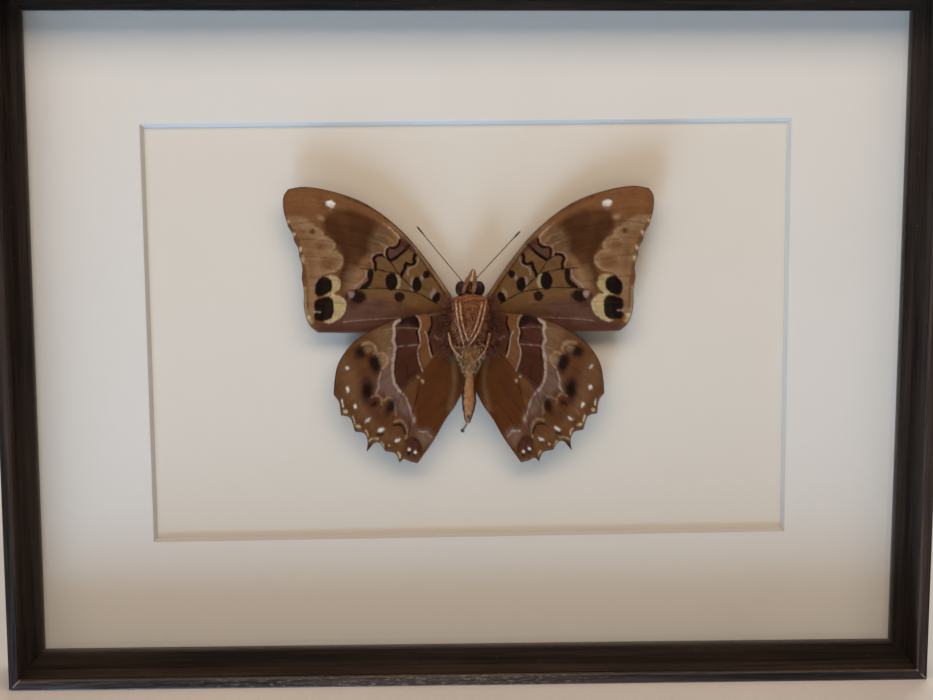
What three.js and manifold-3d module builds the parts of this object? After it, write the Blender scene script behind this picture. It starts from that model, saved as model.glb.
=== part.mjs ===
// Framed butterfly specimen: a dried butterfly, underside to the front, pinned in a thin-rimmed box frame
// with a glass, a bevelled mat and a pinning board. Millimetres, +Z up, front towards -Y, standing on its
// bottom rail. The origin is the middle of the footprint.

import * as THREE from 'three';
import { mergeVertices } from 'three/addons/utils/BufferGeometryUtils.js';
import Module from 'manifold-3d';

const wasm = await Module();
wasm.setup();

// ---- Driving dimensions ---------------------------------------------------------------------------------

// Frame. U runs inward from a rail's outer face and V runs back from the rim's front face.
const SIGHT_W = 230; // opening between the ledges
const SIGHT_H = 170;
const LEDGE_W = 5.5; // flat ledge round the picture
const WALL_T = 2.3; // side wall
const RIM_W = 2.8; // front rim, a little wider than the wall
const RIM_T = 1.5; // rim thickness in front of the glass
const RIM_ROUND = 0.35; // eased edges of the rim
const SLOT_END = 1.1; // skin left outside the glass slot
const SLOT_T = 2.4; // height of the glass slot
const LEDGE_V = 10.8; // from the rim's face back to the ledge
const LEDGE_T = 1.4;
const FRAME_D = 28; // whole depth
const MITRE_GAP = 0.05; // half of the joint between two rails
const LEDGE_EASE = 0.2; // broken edge of the ledge

const GLASS_T = 2.0;
const GLASS_PLAY = 0.25;
const LAYER_GAP = 0.1; // between the boards that lie on each other
const BOARD_PLAY = 0.5; // round the boards in the rabbet
const MAT_T = 1.0;
const BACKING_T = 5.0;
const PANEL_T = 2.5;

// Fittings on the back.
const TAB = { width: 6, reach: 9, t: 0.5, fromMiddleX: 62, fromMiddleZ: 45 };
const HANGER = { t: 0.8, rise: 2.4, halfBridge: 14, foot: 8, height: 16, below: 38, rivet: 2.2, rivetH: 1.1 };
const TAB_GAP = 0.05; // between a tab's foot and the rail
const KEYHOLE = { hole: 3.6, slot: 3.4, slotH: 6.5, holeZ: -2.5, slotZ: 2.2 };

const WINDOW_W = 168.7; // opening at the back of the mat
const WINDOW_H = 109.8;
const WINDOW_X = -0.2;
const WINDOW_Z = 0.8; // above the middle of the frame
const WINDOW_TURN = 0.43; // degrees, anticlockwise
const BEVEL = 1.0; // 45 degree bevel through the mat

// Specimen. Its own origin is on the board's face, behind the middle of the thorax; H is height off the board.
const SPECIMEN_X = -0.3;
const SPECIMEN_Z = 4.4; // above the middle of the frame
const WING_T = 0.3;
const VEIN_H = 0.12; // how far a vein stands up
const PLEAT_H = 0.18; // how far the skin dips between two veins
const THORAX = { rx: 4.2, ry: 3.5, h: 4.8 };
const EYE = { x: 2.45, z: 8.4, rx: 1.2, ry: 1.55, rz: 1.7, h: 5.0 };
const PIN_R = 0.22;
const PIN_BORE = 0.55;
const PIN_DEPTH = 3.4; // how far a pin goes into the board
const PIN_PAST = 0.3; // how far a bore runs past its pin

const OUTER_W = SIGHT_W + 2 * (LEDGE_W + WALL_T);
const OUTER_H = SIGHT_H + 2 * (LEDGE_W + WALL_T);
const FRONT_Y = -FRAME_D / 2;
const MID_Z = OUTER_H / 2;
const MAT_V = LEDGE_V + LEDGE_T + LAYER_GAP;
const BACKING_V = MAT_V + MAT_T + LAYER_GAP;
const PANEL_V = BACKING_V + BACKING_T + LAYER_GAP;
const PANEL_BACK_Y = FRONT_Y + PANEL_V + PANEL_T + LAYER_GAP;
const BOARD_W = OUTER_W - 2 * (WALL_T + BOARD_PLAY);
const BOARD_H = OUTER_H - 2 * (WALL_T + BOARD_PLAY);

// ---- Materials ------------------------------------------------------------------------------------------

function finish(color, roughness, metalness = 0) {
  return new THREE.MeshStandardMaterial({ color, roughness, metalness });
}

const M = {
  wood: finish('#3a2f2a', 0.55),
  glass: finish('#eef3f3', 0.05),
  mat: finish('#e6e4e1', 0.9),
  board: finish('#ebe4da', 0.9),
  panel: finish('#7a5a3c', 0.85),
  steel: finish('#a9a9a6', 0.35, 0.9),
  forewing: finish('#6a4a2e', 0.85),
  hindwing: finish('#5b3f28', 0.85),
  fur: finish('#7e4c38', 0.95),
  abdomen: finish('#a2703f', 0.9),
  palp: finish('#8a5a3e', 0.9),
  eye: finish('#2e130d', 0.25),
  antenna: finish('#3f3a33', 0.6),
  leg: finish('#9a6a4c', 0.85),
};
M.glass.transparent = true;
M.glass.opacity = 0.25;

// ---- Helpers --------------------------------------------------------------------------------------------

const lerp = THREE.MathUtils.lerp;
const smoothstep = THREE.MathUtils.smoothstep;
const deg = THREE.MathUtils.degToRad;

function piece(parent, name, geometry, material, position = [0, 0, 0]) {
  const mesh = new THREE.Mesh(geometry, material);
  mesh.name = name;
  mesh.position.set(...position);
  parent.add(mesh);
  return mesh;
}

// A closed body from points and triangles, turned so that its faces point out.
function closedBody(points, triangles) {
  let volume = 0;
  for (const [a, b, c] of triangles) {
    const p = points[a];
    const q = points[b];
    const r = points[c];
    volume += p[0] * (q[1] * r[2] - q[2] * r[1]) - p[1] * (q[0] * r[2] - q[2] * r[0])
      + p[2] * (q[0] * r[1] - q[1] * r[0]);
  }
  const facing = volume < 0 ? triangles.map(([a, b, c]) => [a, c, b]) : triangles;
  const geometry = new THREE.BufferGeometry();
  geometry.setAttribute('position', new THREE.Float32BufferAttribute(points.flat(), 3));
  geometry.setIndex(facing.flat());
  geometry.computeVertexNormals();
  return geometry;
}

function toManifold(geometry) {
  const bare = geometry.clone();
  bare.deleteAttribute('normal');
  bare.deleteAttribute('uv');
  const merged = mergeVertices(bare);
  return new wasm.Manifold(new wasm.Mesh({
    numProp: 3,
    vertProperties: new Float32Array(merged.attributes.position.array),
    triVerts: new Uint32Array(merged.index.array),
  }));
}

function fromManifold(manifold) {
  const mesh = manifold.getMesh();
  const geometry = new THREE.BufferGeometry();
  geometry.setAttribute('position', new THREE.BufferAttribute(mesh.vertProperties, 3));
  geometry.setIndex(new THREE.BufferAttribute(mesh.triVerts, 1));
  geometry.computeVertexNormals();
  return geometry;
}

function subtract(geometry, ...cutters) {
  const left = cutters.reduce((body, cutter) => body.subtract(toManifold(cutter)), toManifold(geometry));
  return fromManifold(left);
}

function join(geometry, ...others) {
  const whole = others.reduce((body, other) => body.add(toManifold(other)), toManifold(geometry));
  return fromManifold(whole);
}

// A row of closed rings, each a list of points, skinned and capped at both ends.
function skinRings(rings) {
  const count = rings[0].length;
  const points = rings.flat();
  const triangles = [];
  for (let i = 0; i < rings.length - 1; i += 1) {
    for (let j = 0; j < count; j += 1) {
      const a = i * count + j;
      const b = i * count + ((j + 1) % count);
      triangles.push([a, b, b + count], [a, b + count, a + count]);
    }
  }
  for (const [start, order] of [[0, 1], [(rings.length - 1) * count, -1]]) {
    for (let j = 1; j < count - 1; j += 1) {
      triangles.push(order > 0 ? [start, start + j + 1, start + j] : [start, start + j, start + j + 1]);
    }
  }
  return closedBody(points, triangles);
}

// A round bar along a smooth path; radii are spread evenly over its length.
function taperedTube(path, radii, sides = 6, steps = 8) {
  const curve = new THREE.CatmullRomCurve3(path.map((p) => new THREE.Vector3(...p)));
  const frames = curve.computeFrenetFrames(steps);
  const rings = [];
  for (let i = 0; i <= steps; i += 1) {
    const centre = curve.getPointAt(i / steps);
    const place = (i / steps) * (radii.length - 1);
    const k = Math.min(Math.floor(place), radii.length - 2);
    const radius = lerp(radii[k], radii[k + 1], place - k);
    rings.push(Array.from({ length: sides }, (_, j) => {
      const turn = (j / sides) * Math.PI * 2;
      return centre.clone()
        .addScaledVector(frames.normals[i], Math.cos(turn) * radius)
        .addScaledVector(frames.binormals[i], Math.sin(turn) * radius)
        .toArray();
    }));
  }
  return skinRings(rings);
}

const rod = (from, to, radius, sides = 10) => taperedTube([from, to], [radius, radius], sides, 1);

// Oval rings stacked along Z: each is [z, x, half width, half depth] round the height h.
function ovalBody(rows, h, sides = 16) {
  return skinRings(rows.map(([z, x, rx, ry]) => Array.from({ length: sides }, (_, j) => {
    const turn = (j / sides) * Math.PI * 2;
    return [x + rx * Math.cos(turn), -h + ry * Math.sin(turn), z];
  })));
}

function ellipsoid(centre, radii, across = 12, along = 8) {
  const geometry = new THREE.SphereGeometry(1, across, along);
  geometry.scale(...radii);
  geometry.translate(...centre);
  return fromManifold(toManifold(geometry));
}

const block = (w, d, h) => new THREE.BoxGeometry(w, d, h);

// ---- Frame ----------------------------------------------------------------------------------------------

function railSection() {
  const slotV = RIM_T;
  const ledgeEnd = WALL_T + LEDGE_W;
  const ease = RIM_ROUND;
  return [
    [0, ease], [ease, 0], [RIM_W - ease, 0], [RIM_W, ease], [RIM_W, slotV],
    [SLOT_END, slotV], [SLOT_END, slotV + SLOT_T], [WALL_T, slotV + SLOT_T],
    [WALL_T, LEDGE_V], [ledgeEnd - LEDGE_EASE, LEDGE_V], [ledgeEnd, LEDGE_V + LEDGE_EASE],
    [ledgeEnd, LEDGE_V + LEDGE_T],
    [WALL_T, LEDGE_V + LEDGE_T], [WALL_T, FRAME_D], [0, FRAME_D],
  ];
}

// A rail along X on its outer face, mitred at 45 degrees at both ends.
function mitredRail(length) {
  const section = railSection();
  const half = length / 2 - MITRE_GAP;
  const count = section.length;
  const points = [-1, 1].flatMap((end) => section.map(([u, v]) => [end * (half - u), FRONT_Y + v, u]));
  const caps = THREE.ShapeUtils.triangulateShape(section.map(([u, v]) => new THREE.Vector2(u, v)), []);
  const triangles = [];
  for (let j = 0; j < count; j += 1) {
    const k = (j + 1) % count;
    triangles.push([j, k, count + k], [j, count + k, count + j]);
  }
  const forward = THREE.ShapeUtils.area(section.map(([u, v]) => new THREE.Vector2(u, v))) > 0;
  for (const [a, b, c] of caps) {
    triangles.push(forward ? [a, c, b] : [a, b, c]);
    triangles.push(forward ? [a + count, b + count, c + count] : [a + count, c + count, b + count]);
  }
  return closedBody(points, triangles);
}

function addRails(parent) {
  const rails = [
    ['rail_bottom', OUTER_W, 0, [0, 0, 0]],
    ['rail_top', OUTER_W, 180, [0, 0, OUTER_H]],
    ['rail_left', OUTER_H, 90, [-OUTER_W / 2, 0, MID_Z]],
    ['rail_right', OUTER_H, -90, [OUTER_W / 2, 0, MID_Z]],
  ];
  for (const [name, length, turn, position] of rails) {
    piece(parent, name, mitredRail(length), M.wood, position).rotation.y = deg(turn);
  }
}

// A straight-sided plate between the V depths, in the middle of the frame.
function plate(w, h, v, t) {
  const geometry = block(w, t, h);
  geometry.translate(0, FRONT_Y + v + t / 2, MID_Z);
  return geometry;
}

function windowCutter() {
  const over = 0.5; // past both faces of the mat
  const grow = (v) => BEVEL * (1 - (v - MAT_V) / MAT_T);
  const ring = (v) => [[-1, -1], [1, -1], [1, 1], [-1, 1]].map(([a, b]) => {
    const corner = new THREE.Vector2(a * (WINDOW_W / 2 + grow(v)), b * (WINDOW_H / 2 + grow(v)));
    corner.rotateAround(new THREE.Vector2(0, 0), deg(WINDOW_TURN));
    return [WINDOW_X + corner.x, FRONT_Y + v, MID_Z + WINDOW_Z + corner.y];
  });
  return skinRings([ring(MAT_V - over), ring(MAT_V + MAT_T + over)]);
}

function addBoards(parent, pinBores) {
  const glassInset = 2 * (SLOT_END + GLASS_PLAY);
  const glassV = RIM_T + (SLOT_T - GLASS_T) / 2;
  piece(parent, 'glass', plate(OUTER_W - glassInset, OUTER_H - glassInset, glassV, GLASS_T), M.glass);
  piece(parent, 'mat', subtract(plate(BOARD_W, BOARD_H, MAT_V, MAT_T), windowCutter()), M.mat);
  piece(parent, 'backing_board', subtract(plate(BOARD_W, BOARD_H, BACKING_V, BACKING_T), ...pinBores), M.board);
  piece(parent, 'back_panel', plate(BOARD_W, BOARD_H, PANEL_V, PANEL_T), M.panel);
}

// A flat steel tab with a round end, pointing up from its foot.
function tab() {
  const half = TAB.width / 2;
  const shape = new THREE.Shape();
  shape.moveTo(-half, 0);
  shape.lineTo(half, 0);
  shape.lineTo(half, TAB.reach);
  shape.absarc(0, TAB.reach, half, 0, Math.PI);
  shape.closePath();
  const geometry = new THREE.ExtrudeGeometry(shape, { depth: TAB.t, bevelEnabled: false, curveSegments: 8 });
  geometry.rotateX(Math.PI / 2);
  return geometry;
}

// Two tabs in each rail, their feet against the inner wall.
function addTabs(parent) {
  const y = PANEL_BACK_Y + TAB.t;
  const foot = WALL_T + TAB_GAP;
  const places = [];
  for (const side of [-1, 1]) {
    const x = side * TAB.fromMiddleX;
    const z = MID_Z + side * TAB.fromMiddleZ;
    places.push([x, foot, 0], [x, OUTER_H - foot, 180]);
    places.push([foot - OUTER_W / 2, z, 90], [OUTER_W / 2 - foot, z, -90]);
  }
  places.forEach(([x, z, turn], index) => {
    piece(parent, `tab_${index + 1}`, tab(), M.steel, [x, y, z]).rotation.y = deg(turn);
  });
}

// A bridge of sheet steel with a keyhole, riveted to the panel at both feet.
function addHanger(parent) {
  const { t, rise, halfBridge, foot, height, rivet, rivetH } = HANGER;
  const end = halfBridge + foot;
  const shape = new THREE.Shape([
    [-end, 0], [-halfBridge, 0], [-halfBridge + rise, rise],
    [halfBridge - rise, rise], [halfBridge, 0], [end, 0],
    [end, t], [halfBridge + t / 2, t], [halfBridge - rise + t / 2, rise + t],
    [-halfBridge + rise - t / 2, rise + t], [-halfBridge - t / 2, t], [-end, t],
  ].map(([x, y]) => new THREE.Vector2(x, y)));
  const bridge = new THREE.ExtrudeGeometry(shape, { depth: height, bevelEnabled: false });
  bridge.translate(0, 0, -height / 2);
  const past = 1; // the cutters run this far past the sheet
  const hole = rod([0, -past, KEYHOLE.holeZ], [0, rise + t + past, KEYHOLE.holeZ], KEYHOLE.hole, 16);
  const slot = block(KEYHOLE.slot, rise + t + 2 * past, KEYHOLE.slotH);
  slot.translate(0, (rise + t) / 2, KEYHOLE.slotZ);
  const underFeet = block(2 * (end + past), 2 * rivetH, height);
  underFeet.translate(0, -rivetH, 0);
  const heads = [-1, 1].map((side) => ellipsoid([side * (end - foot / 2), t, 0], [rivet, rivetH, rivet]));
  const body = subtract(join(bridge, ...heads), hole, slot, underFeet);
  piece(parent, 'hanger', body, M.steel, [0, PANEL_BACK_Y, OUTER_H - HANGER.below]);
}

// ---- Wings ----------------------------------------------------------------------------------------------

// Outlines in X outward from the body and Z up, for the right side; the left side is mirrored.
// A margin is a row of spans from one vein's end to the next; each span is smooth and ends in a corner.
const FOREWING = {
  costa: [[4.6, 6.4], [10.7, 15.4], [17.7, 23.8], [27.2, 31.0], [37.0, 34.5], [43.5, 35.4], [47.2, 34.8]],
  margin: [
    [[47.2, 34.8], [48.4, 33.0], [48.5, 29.5], [47.4, 25.2]],
    [[47.4, 25.2], [46.3, 23.2], [45.8, 21.2]],
    [[45.8, 21.2], [44.8, 19.2], [44.5, 17.0]],
    [[44.5, 17.0], [43.8, 14.3], [44.0, 11.5]],
    [[44.0, 11.5], [43.5, 8.0], [43.6, 4.6]],
    [[43.6, 4.6], [43.1, 1.4], [41.9, -1.3], [39.8, -3.0]],
  ],
  steps: [6, 4, 4, 4, 4, 6],
  inner: [[4.6, 1.0], [15.0, -1.2], [28.0, -3.0], [39.8, -3.0]],
  rows: 9,
  height: (v) => 2.9 + 0.9 * v,
};
const HINDWING = {
  costa: [[4.6, 3.4], [9.5, 2.2], [15.2, 1.5], [19.4, 0.6], [24.0, -1.5], [28.0, -3.6]],
  margin: [
    [[28.0, -3.6], [31.6, -6.6], [34.8, -11.6], [35.7, -16.0], [36.0, -19.6]],
    [[36.0, -19.6], [34.6, -21.6], [34.1, -25.1]],
    [[34.1, -25.1], [31.8, -25.8], [30.4, -29.5]],
    [[30.4, -29.5], [27.9, -30.2], [27.1, -32.2], [27.4, -35.1]],
    [[27.4, -35.1], [26.1, -33.2], [24.2, -32.6], [22.4, -34.9]],
    [[22.4, -34.9], [19.7, -35.7], [18.6, -38.1]],
    [[18.6, -38.1], [17.5, -37.1], [15.9, -37.8], [13.8, -38.3]],
  ],
  steps: [8, 4, 4, 5, 5, 4, 4],
  inner: [
    [4.6, -3.5], [3.8, -7.4], [2.0, -11.5], [1.1, -16.5],
    [3.4, -22.3], [6.2, -26.4], [9.4, -32.0], [13.8, -38.3],
  ],
  rows: 8,
  height: (v) => 3.95 + 0.35 * v,
};

const smoothLine = (points) => new THREE.CatmullRomCurve3(
  points.map(([x, z]) => new THREE.Vector3(x, z, 0)), false, 'centripetal');

// Points along a margin, with a mark at each vein's end.
function marginPoints(wing) {
  const points = [];
  const veins = [];
  wing.margin.forEach((span, index) => {
    const curve = smoothLine(span);
    for (let i = 0; i < wing.steps[index]; i += 1) {
      points.push(curve.getPointAt(i / wing.steps[index]));
    }
    veins.push(points.length);
  });
  const last = wing.margin.at(-1).at(-1);
  points.push(new THREE.Vector3(last[0], last[1], 0));
  return { points, veins };
}

// The margin without its teeth: the same points, each drawn towards its neighbours.
function evenedLine(points, passes = 14) {
  let line = points.map((p) => p.clone());
  for (let pass = 0; pass < passes; pass += 1) {
    line = line.map((p, i) => {
      const edge = i === 0 || i === line.length - 1;
      return edge ? p : p.clone().multiplyScalar(0.5).addScaledVector(line[i - 1], 0.25)
        .addScaledVector(line[i + 1], 0.25);
    });
  }
  return line;
}

// How far a point across the veins is from the nearest one: 0 on a vein, 1 half way between two.
function betweenVeins(i, veins) {
  const stops = [0, ...veins];
  const next = stops.findIndex((stop) => stop >= i);
  if (stops[next] === i) return 0;
  const span = stops[next] - stops[next - 1];
  return Math.sin(((i - stops[next - 1]) / span) * Math.PI);
}

// A wing as a patch between its four edges, with raised veins and a dipped skin between them.
function wingBody(wing, side) {
  const { points: margin, veins } = marginPoints(wing);
  const evened = evenedLine(margin);
  const costa = smoothLine(wing.costa);
  const inner = smoothLine(wing.inner);
  const across = margin.length - 1;
  const toothStart = 0.8; // the teeth fade in over the last fifth of the wing
  const grid = [];
  for (let i = 0; i <= across; i += 1) {
    const u = i / across;
    for (let j = 0; j <= wing.rows; j += 1) {
      const v = j / wing.rows;
      const c = costa.getPointAt(v);
      const d = inner.getPointAt(v);
      const root = costa.getPoint(0).lerp(inner.getPoint(0), u);
      const corners = root.clone().lerp(costa.getPoint(1).lerp(inner.getPoint(1), u), v);
      const p = c.lerp(d, u).add(root.lerp(evened[i], v)).sub(corners);
      p.addScaledVector(margin[i].clone().sub(evened[i]), smoothstep(v, toothStart, 1));
      const spread = smoothstep(v, 0.05, 0.5); // veins and dips grow from the root
      const between = betweenVeins(i, veins);
      const middle = wing.height(v) - PLEAT_H * between * spread;
      const vein = between === 0 && i > 0 && i < across ? VEIN_H * spread : 0;
      grid.push({ x: side * p.x, z: p.y, back: middle - WING_T / 2, front: middle + WING_T / 2 + vein });
    }
  }
  return sheetBody(grid, across, wing.rows);
}

// Two layers of one grid, closed along the four edges.
function sheetBody(grid, across, rows) {
  const layer = grid.length;
  const points = [...grid.map((g) => [g.x, -g.front, g.z]), ...grid.map((g) => [g.x, -g.back, g.z])];
  const at = (i, j) => i * (rows + 1) + j;
  const triangles = [];
  for (let i = 0; i < across; i += 1) {
    for (let j = 0; j < rows; j += 1) {
      const quad = [at(i, j), at(i + 1, j), at(i + 1, j + 1), at(i, j + 1)];
      triangles.push([quad[0], quad[1], quad[2]], [quad[0], quad[2], quad[3]]);
      const under = quad.map((k) => k + layer);
      triangles.push([under[0], under[2], under[1]], [under[0], under[3], under[2]]);
    }
  }
  const rim = [];
  for (let i = 0; i < across; i += 1) rim.push(at(i, 0));
  for (let j = 0; j < rows; j += 1) rim.push(at(across, j));
  for (let i = across; i > 0; i -= 1) rim.push(at(i, rows));
  for (let j = rows; j > 0; j -= 1) rim.push(at(0, j));
  rim.forEach((a, k) => {
    const b = rim[(k + 1) % rim.length];
    triangles.push([b, a, a + layer], [b, a + layer, b + layer]);
  });
  return closedBody(points, triangles);
}

// ---- Body, legs and pins --------------------------------------------------------------------------------

const THORAX_ROWS = [
  [6.7, 0.3, 0.24, 0.24], [6.1, 0.3, 0.6, 0.6], [4.6, 0.3, 0.86, 0.86], [2.2, 0.2, 1.0, 1.0],
  [-0.8, 0.1, 1.0, 0.98], [-3.4, 0.1, 0.88, 0.9], [-5.4, 0.1, 0.64, 0.7], [-6.7, 0.1, 0.3, 0.36],
];
const ABDOMEN_ROWS = [
  [-7.0, 0.1, 1.4, 1.1], [-8.2, 0.1, 2.2, 1.5], [-10.4, 0.1, 2.2, 1.55], [-12.8, 0.0, 1.55, 1.35],
  [-14.6, 0.0, 1.3, 1.25], [-17.0, -0.1, 1.6, 1.4], [-19.6, -0.2, 1.85, 1.5], [-22.2, -0.2, 1.75, 1.45],
  [-24.4, -0.3, 1.35, 1.2], [-26.0, -0.4, 0.95, 0.9], [-27.2, -0.4, 0.4, 0.4],
];
const ABDOMEN_H = 6.0;

const BODY_PIN = { from: [0, PIN_DEPTH, 0], to: [0, -2.6, 0] };
const TAIL_PIN = { from: [-0.7, -5.2, -27.7], to: [-1.6, 0, -30.3] };

const along = (from, to, t) => from.map((value, k) => lerp(value, to[k], t));

const thoraxRows = () => THORAX_ROWS.map(([z, x, a, b]) => [z, x, THORAX.rx * a, THORAX.ry * b]);

function thoraxBody() {
  const bore = rod([0, 0, 0], [0, BODY_PIN.to[1] - PIN_PAST, 0], PIN_BORE);
  return subtract(ovalBody(thoraxRows(), THORAX.h), bore);
}

function headBody() {
  const h = EYE.h;
  const skull = ovalBody([
    [6.95, 0.3, 0.5, 0.8], [7.6, 0.2, 0.95, 1.3], [8.8, 0.1, 1.1, 1.6],
    [9.9, 0.1, 0.85, 1.2], [10.4, 0.1, 0.35, 0.5],
  ], h, 12);
  const palps = [
    taperedTube([[-0.9, -h - 1.0, 7.2], [-0.9, -h - 1.6, 8.6], [-0.2, -h - 1.5, 11.0], [1.0, -h - 1.2, 13.3]],
      [0.45, 0.55, 0.5, 0.12], 6, 7),
    taperedTube([[1.0, -h - 1.0, 7.2], [1.1, -h - 1.6, 8.6], [1.2, -h - 1.5, 10.6], [1.3, -h - 1.2, 12.2]],
      [0.45, 0.55, 0.5, 0.15], 6, 7),
  ];
  return join(skull, ...palps);
}

// Legs folded on the front of the thorax: each is a path of [x, z], lifted clear of the body under it.
const LEGS = {
  front_left: [[-2.6, 5.4], [-1.9, -0.3], [-0.5, -4.6]],
  front_right: [[3.4, 5.4], [1.6, -0.8], [0.3, -3.6]],
  middle_left: [[-3.6, 5.6], [-2.9, -0.3], [-1.4, -6.5]],
  middle_right: [[4.3, 5.6], [2.7, -1.0], [-0.4, -6.6]],
  hind_left: [[-5.5, -2.9], [-4.5, -6.8], [-1.7, -9.8]],
  hind_right: [[5.3, -3.2], [4.3, -7.0], [2.0, -9.9]],
};
const LEG_R = 0.28;
const LEG_CLEAR = 0.3;

// The ring of a stacked body at a height, between the rows given.
function rowAt(rows, z) {
  const k = rows.findIndex((row) => row[0] <= z);
  if (k <= 0) return k === 0 ? rows[0] : rows.at(-1);
  const [upper, lower] = [rows[k - 1], rows[k]];
  return upper.map((value, i) => lerp(value, lower[i], (upper[0] - z) / (upper[0] - lower[0])));
}

// Height of an oval body's front under a point; its middle height where the point is beside it.
function ovalFront(rows, h, x, z) {
  const [, centre, rx, ry] = rowAt(rows, z);
  return h + ry * Math.sqrt(Math.max(1 - ((x - centre) / rx) ** 2, 0));
}

// Highest front of the body within a leg's width of a point.
function bodyFront(x, z) {
  const overAbdomen = z < THORAX_ROWS.at(-1)[0] + 1;
  return Math.max(...[-1.5, 0, 1.5].map((offset) => {
    const across = x + offset * LEG_R;
    const thorax = ovalFront(thoraxRows(), THORAX.h, across, z);
    return overAbdomen ? Math.max(thorax, ovalFront(ABDOMEN_ROWS, ABDOMEN_H, across, z)) : thorax;
  }));
}

function legBody(path) {
  const bends = 3; // points between two corners of the path
  const route = [];
  for (let k = 0; k < path.length - 1; k += 1) {
    for (let i = 0; i < bends; i += 1) {
      route.push([lerp(path[k][0], path[k + 1][0], i / bends), lerp(path[k][1], path[k + 1][1], i / bends)]);
    }
  }
  route.push(path.at(-1));
  const lifted = route.map(([x, z]) => [x, -(bodyFront(x, z) + LEG_R + LEG_CLEAR), z]);
  return taperedTube(lifted, [LEG_R * 0.8, LEG_R, LEG_R * 0.9, LEG_R * 0.5], 6, 9);
}

function addSpecimen(parent) {
  const specimen = new THREE.Group();
  specimen.position.set(SPECIMEN_X, FRONT_Y + BACKING_V, MID_Z + SPECIMEN_Z);
  parent.add(specimen);
  for (const [word, side] of [['left', -1], ['right', 1]]) {
    piece(specimen, `forewing_${word}`, wingBody(FOREWING, side), M.forewing);
    piece(specimen, `hindwing_${word}`, wingBody(HINDWING, side), M.hindwing);
    const eye = ellipsoid([side * EYE.x + 0.2, -EYE.h, EYE.z], [EYE.rx, EYE.ry, EYE.rz]);
    piece(specimen, `eye_${word}`, eye, M.eye);
    for (const pair of ['front', 'middle', 'hind']) {
      piece(specimen, `leg_${pair}_${word}`, legBody(LEGS[`${pair}_${word}`]), M.leg);
    }
  }
  piece(specimen, 'thorax', thoraxBody(), M.fur);
  piece(specimen, 'abdomen', ovalBody(ABDOMEN_ROWS, ABDOMEN_H, 14), M.abdomen);
  piece(specimen, 'head', headBody(), M.palp);
  const club = [0.15, 0.14, 0.14, 0.14, 0.15, 0.26, 0.2];
  piece(specimen, 'antenna_left',
    taperedTube([[-1.4, -4.2, 10.0], [-7.6, -4.9, 17.5], [-13.7, -5.4, 25.1]], club, 6, 12), M.antenna);
  piece(specimen, 'antenna_right',
    taperedTube([[1.5, -4.6, 10.9], [7.4, -5.0, 17.3], [13.3, -5.4, 23.7]], club, 6, 12), M.antenna);
  piece(specimen, 'body_pin', rod(BODY_PIN.from, BODY_PIN.to, PIN_R, 8), M.steel);
  const tipIn = along(TAIL_PIN.from, TAIL_PIN.to, 1.5);
  piece(specimen, 'tail_pin', rod(TAIL_PIN.from, tipIn, PIN_R, 8), M.steel);
}

// Bores in the board for both pins, in the frame's own axes.
function pinBores() {
  const bores = [
    rod([0, -1, 0], [0, PIN_DEPTH + PIN_PAST, 0], PIN_BORE),
    rod(along(TAIL_PIN.from, TAIL_PIN.to, 0.8), along(TAIL_PIN.from, TAIL_PIN.to, 1.6), PIN_BORE),
  ];
  for (const bore of bores) bore.translate(SPECIMEN_X, FRONT_Y + BACKING_V, MID_Z + SPECIMEN_Z);
  return bores;
}

// ---- The whole part -------------------------------------------------------------------------------------

const part = new THREE.Group();
addRails(part);
addBoards(part, pinBores());
addTabs(part);
addHanger(part);
addSpecimen(part);

export default part;
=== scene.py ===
"""Framed butterfly specimen: the looks of the packed part.

The wings, body, head, legs and antennae of the dried butterfly are built here in place of the packed solids.
The rails, glass, mat, boards, fittings and pins keep their solids and get their finish. Lengths in the tables
are millimetres, apart from the points of the wing marks, which belong to close views. Lengths and places in
materials, lights and settings are metres.
"""

import math

import bmesh
import bpy
import numpy as np
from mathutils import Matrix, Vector


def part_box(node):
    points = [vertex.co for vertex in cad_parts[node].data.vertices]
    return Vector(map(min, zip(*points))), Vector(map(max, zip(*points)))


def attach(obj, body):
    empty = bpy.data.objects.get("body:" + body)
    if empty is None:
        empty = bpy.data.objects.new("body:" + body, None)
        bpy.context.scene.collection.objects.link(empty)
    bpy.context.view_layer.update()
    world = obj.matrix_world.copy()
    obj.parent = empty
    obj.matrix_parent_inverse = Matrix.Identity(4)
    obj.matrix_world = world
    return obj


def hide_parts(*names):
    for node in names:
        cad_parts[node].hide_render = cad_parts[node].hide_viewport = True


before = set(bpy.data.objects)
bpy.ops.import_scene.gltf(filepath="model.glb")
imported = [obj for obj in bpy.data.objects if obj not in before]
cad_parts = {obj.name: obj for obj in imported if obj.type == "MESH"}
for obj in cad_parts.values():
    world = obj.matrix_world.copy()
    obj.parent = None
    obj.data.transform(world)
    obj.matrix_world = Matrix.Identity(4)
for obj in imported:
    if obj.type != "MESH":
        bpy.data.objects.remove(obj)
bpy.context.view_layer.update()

bl_info = {
    "name": "Framed Butterfly Specimen",
    "version": (1, 0, 0),
    "blender": (4, 5, 0),
    "location": "View3D > Sidebar > Butterfly",
    "description": "Builds the finish of a dried butterfly in a dark box frame",
    "category": "Add Mesh",
}

MM = 0.001


def rgb(text):
    """A colour written as six hex digits, in linear light."""
    parts = [int(text[i : i + 2], 16) / 255 for i in (0, 2, 4)]
    return tuple(v / 12.92 if v <= 0.04045 else ((v + 0.055) / 1.055) ** 2.4 for v in parts)


def middle(node, axis):
    low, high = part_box(node)
    return (low[axis] + high[axis]) / 2


# The specimen's own origin: on the board's face, behind the middle of the thorax.
ORIGIN = np.array([middle("body_pin", 0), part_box("backing_board")[0][1], middle("body_pin", 2)])
OUTER_W = 2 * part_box("rail_right")[1][0]
OUTER_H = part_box("rail_top")[1][2]


# ---- Lines, fields and meshes -----------------------------------------------------------------------------


def smoothstep(value, start, end):
    t = np.clip((np.asarray(value, float) - start) / (end - start), 0, 1)
    return t * t * (3 - 2 * t)


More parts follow.
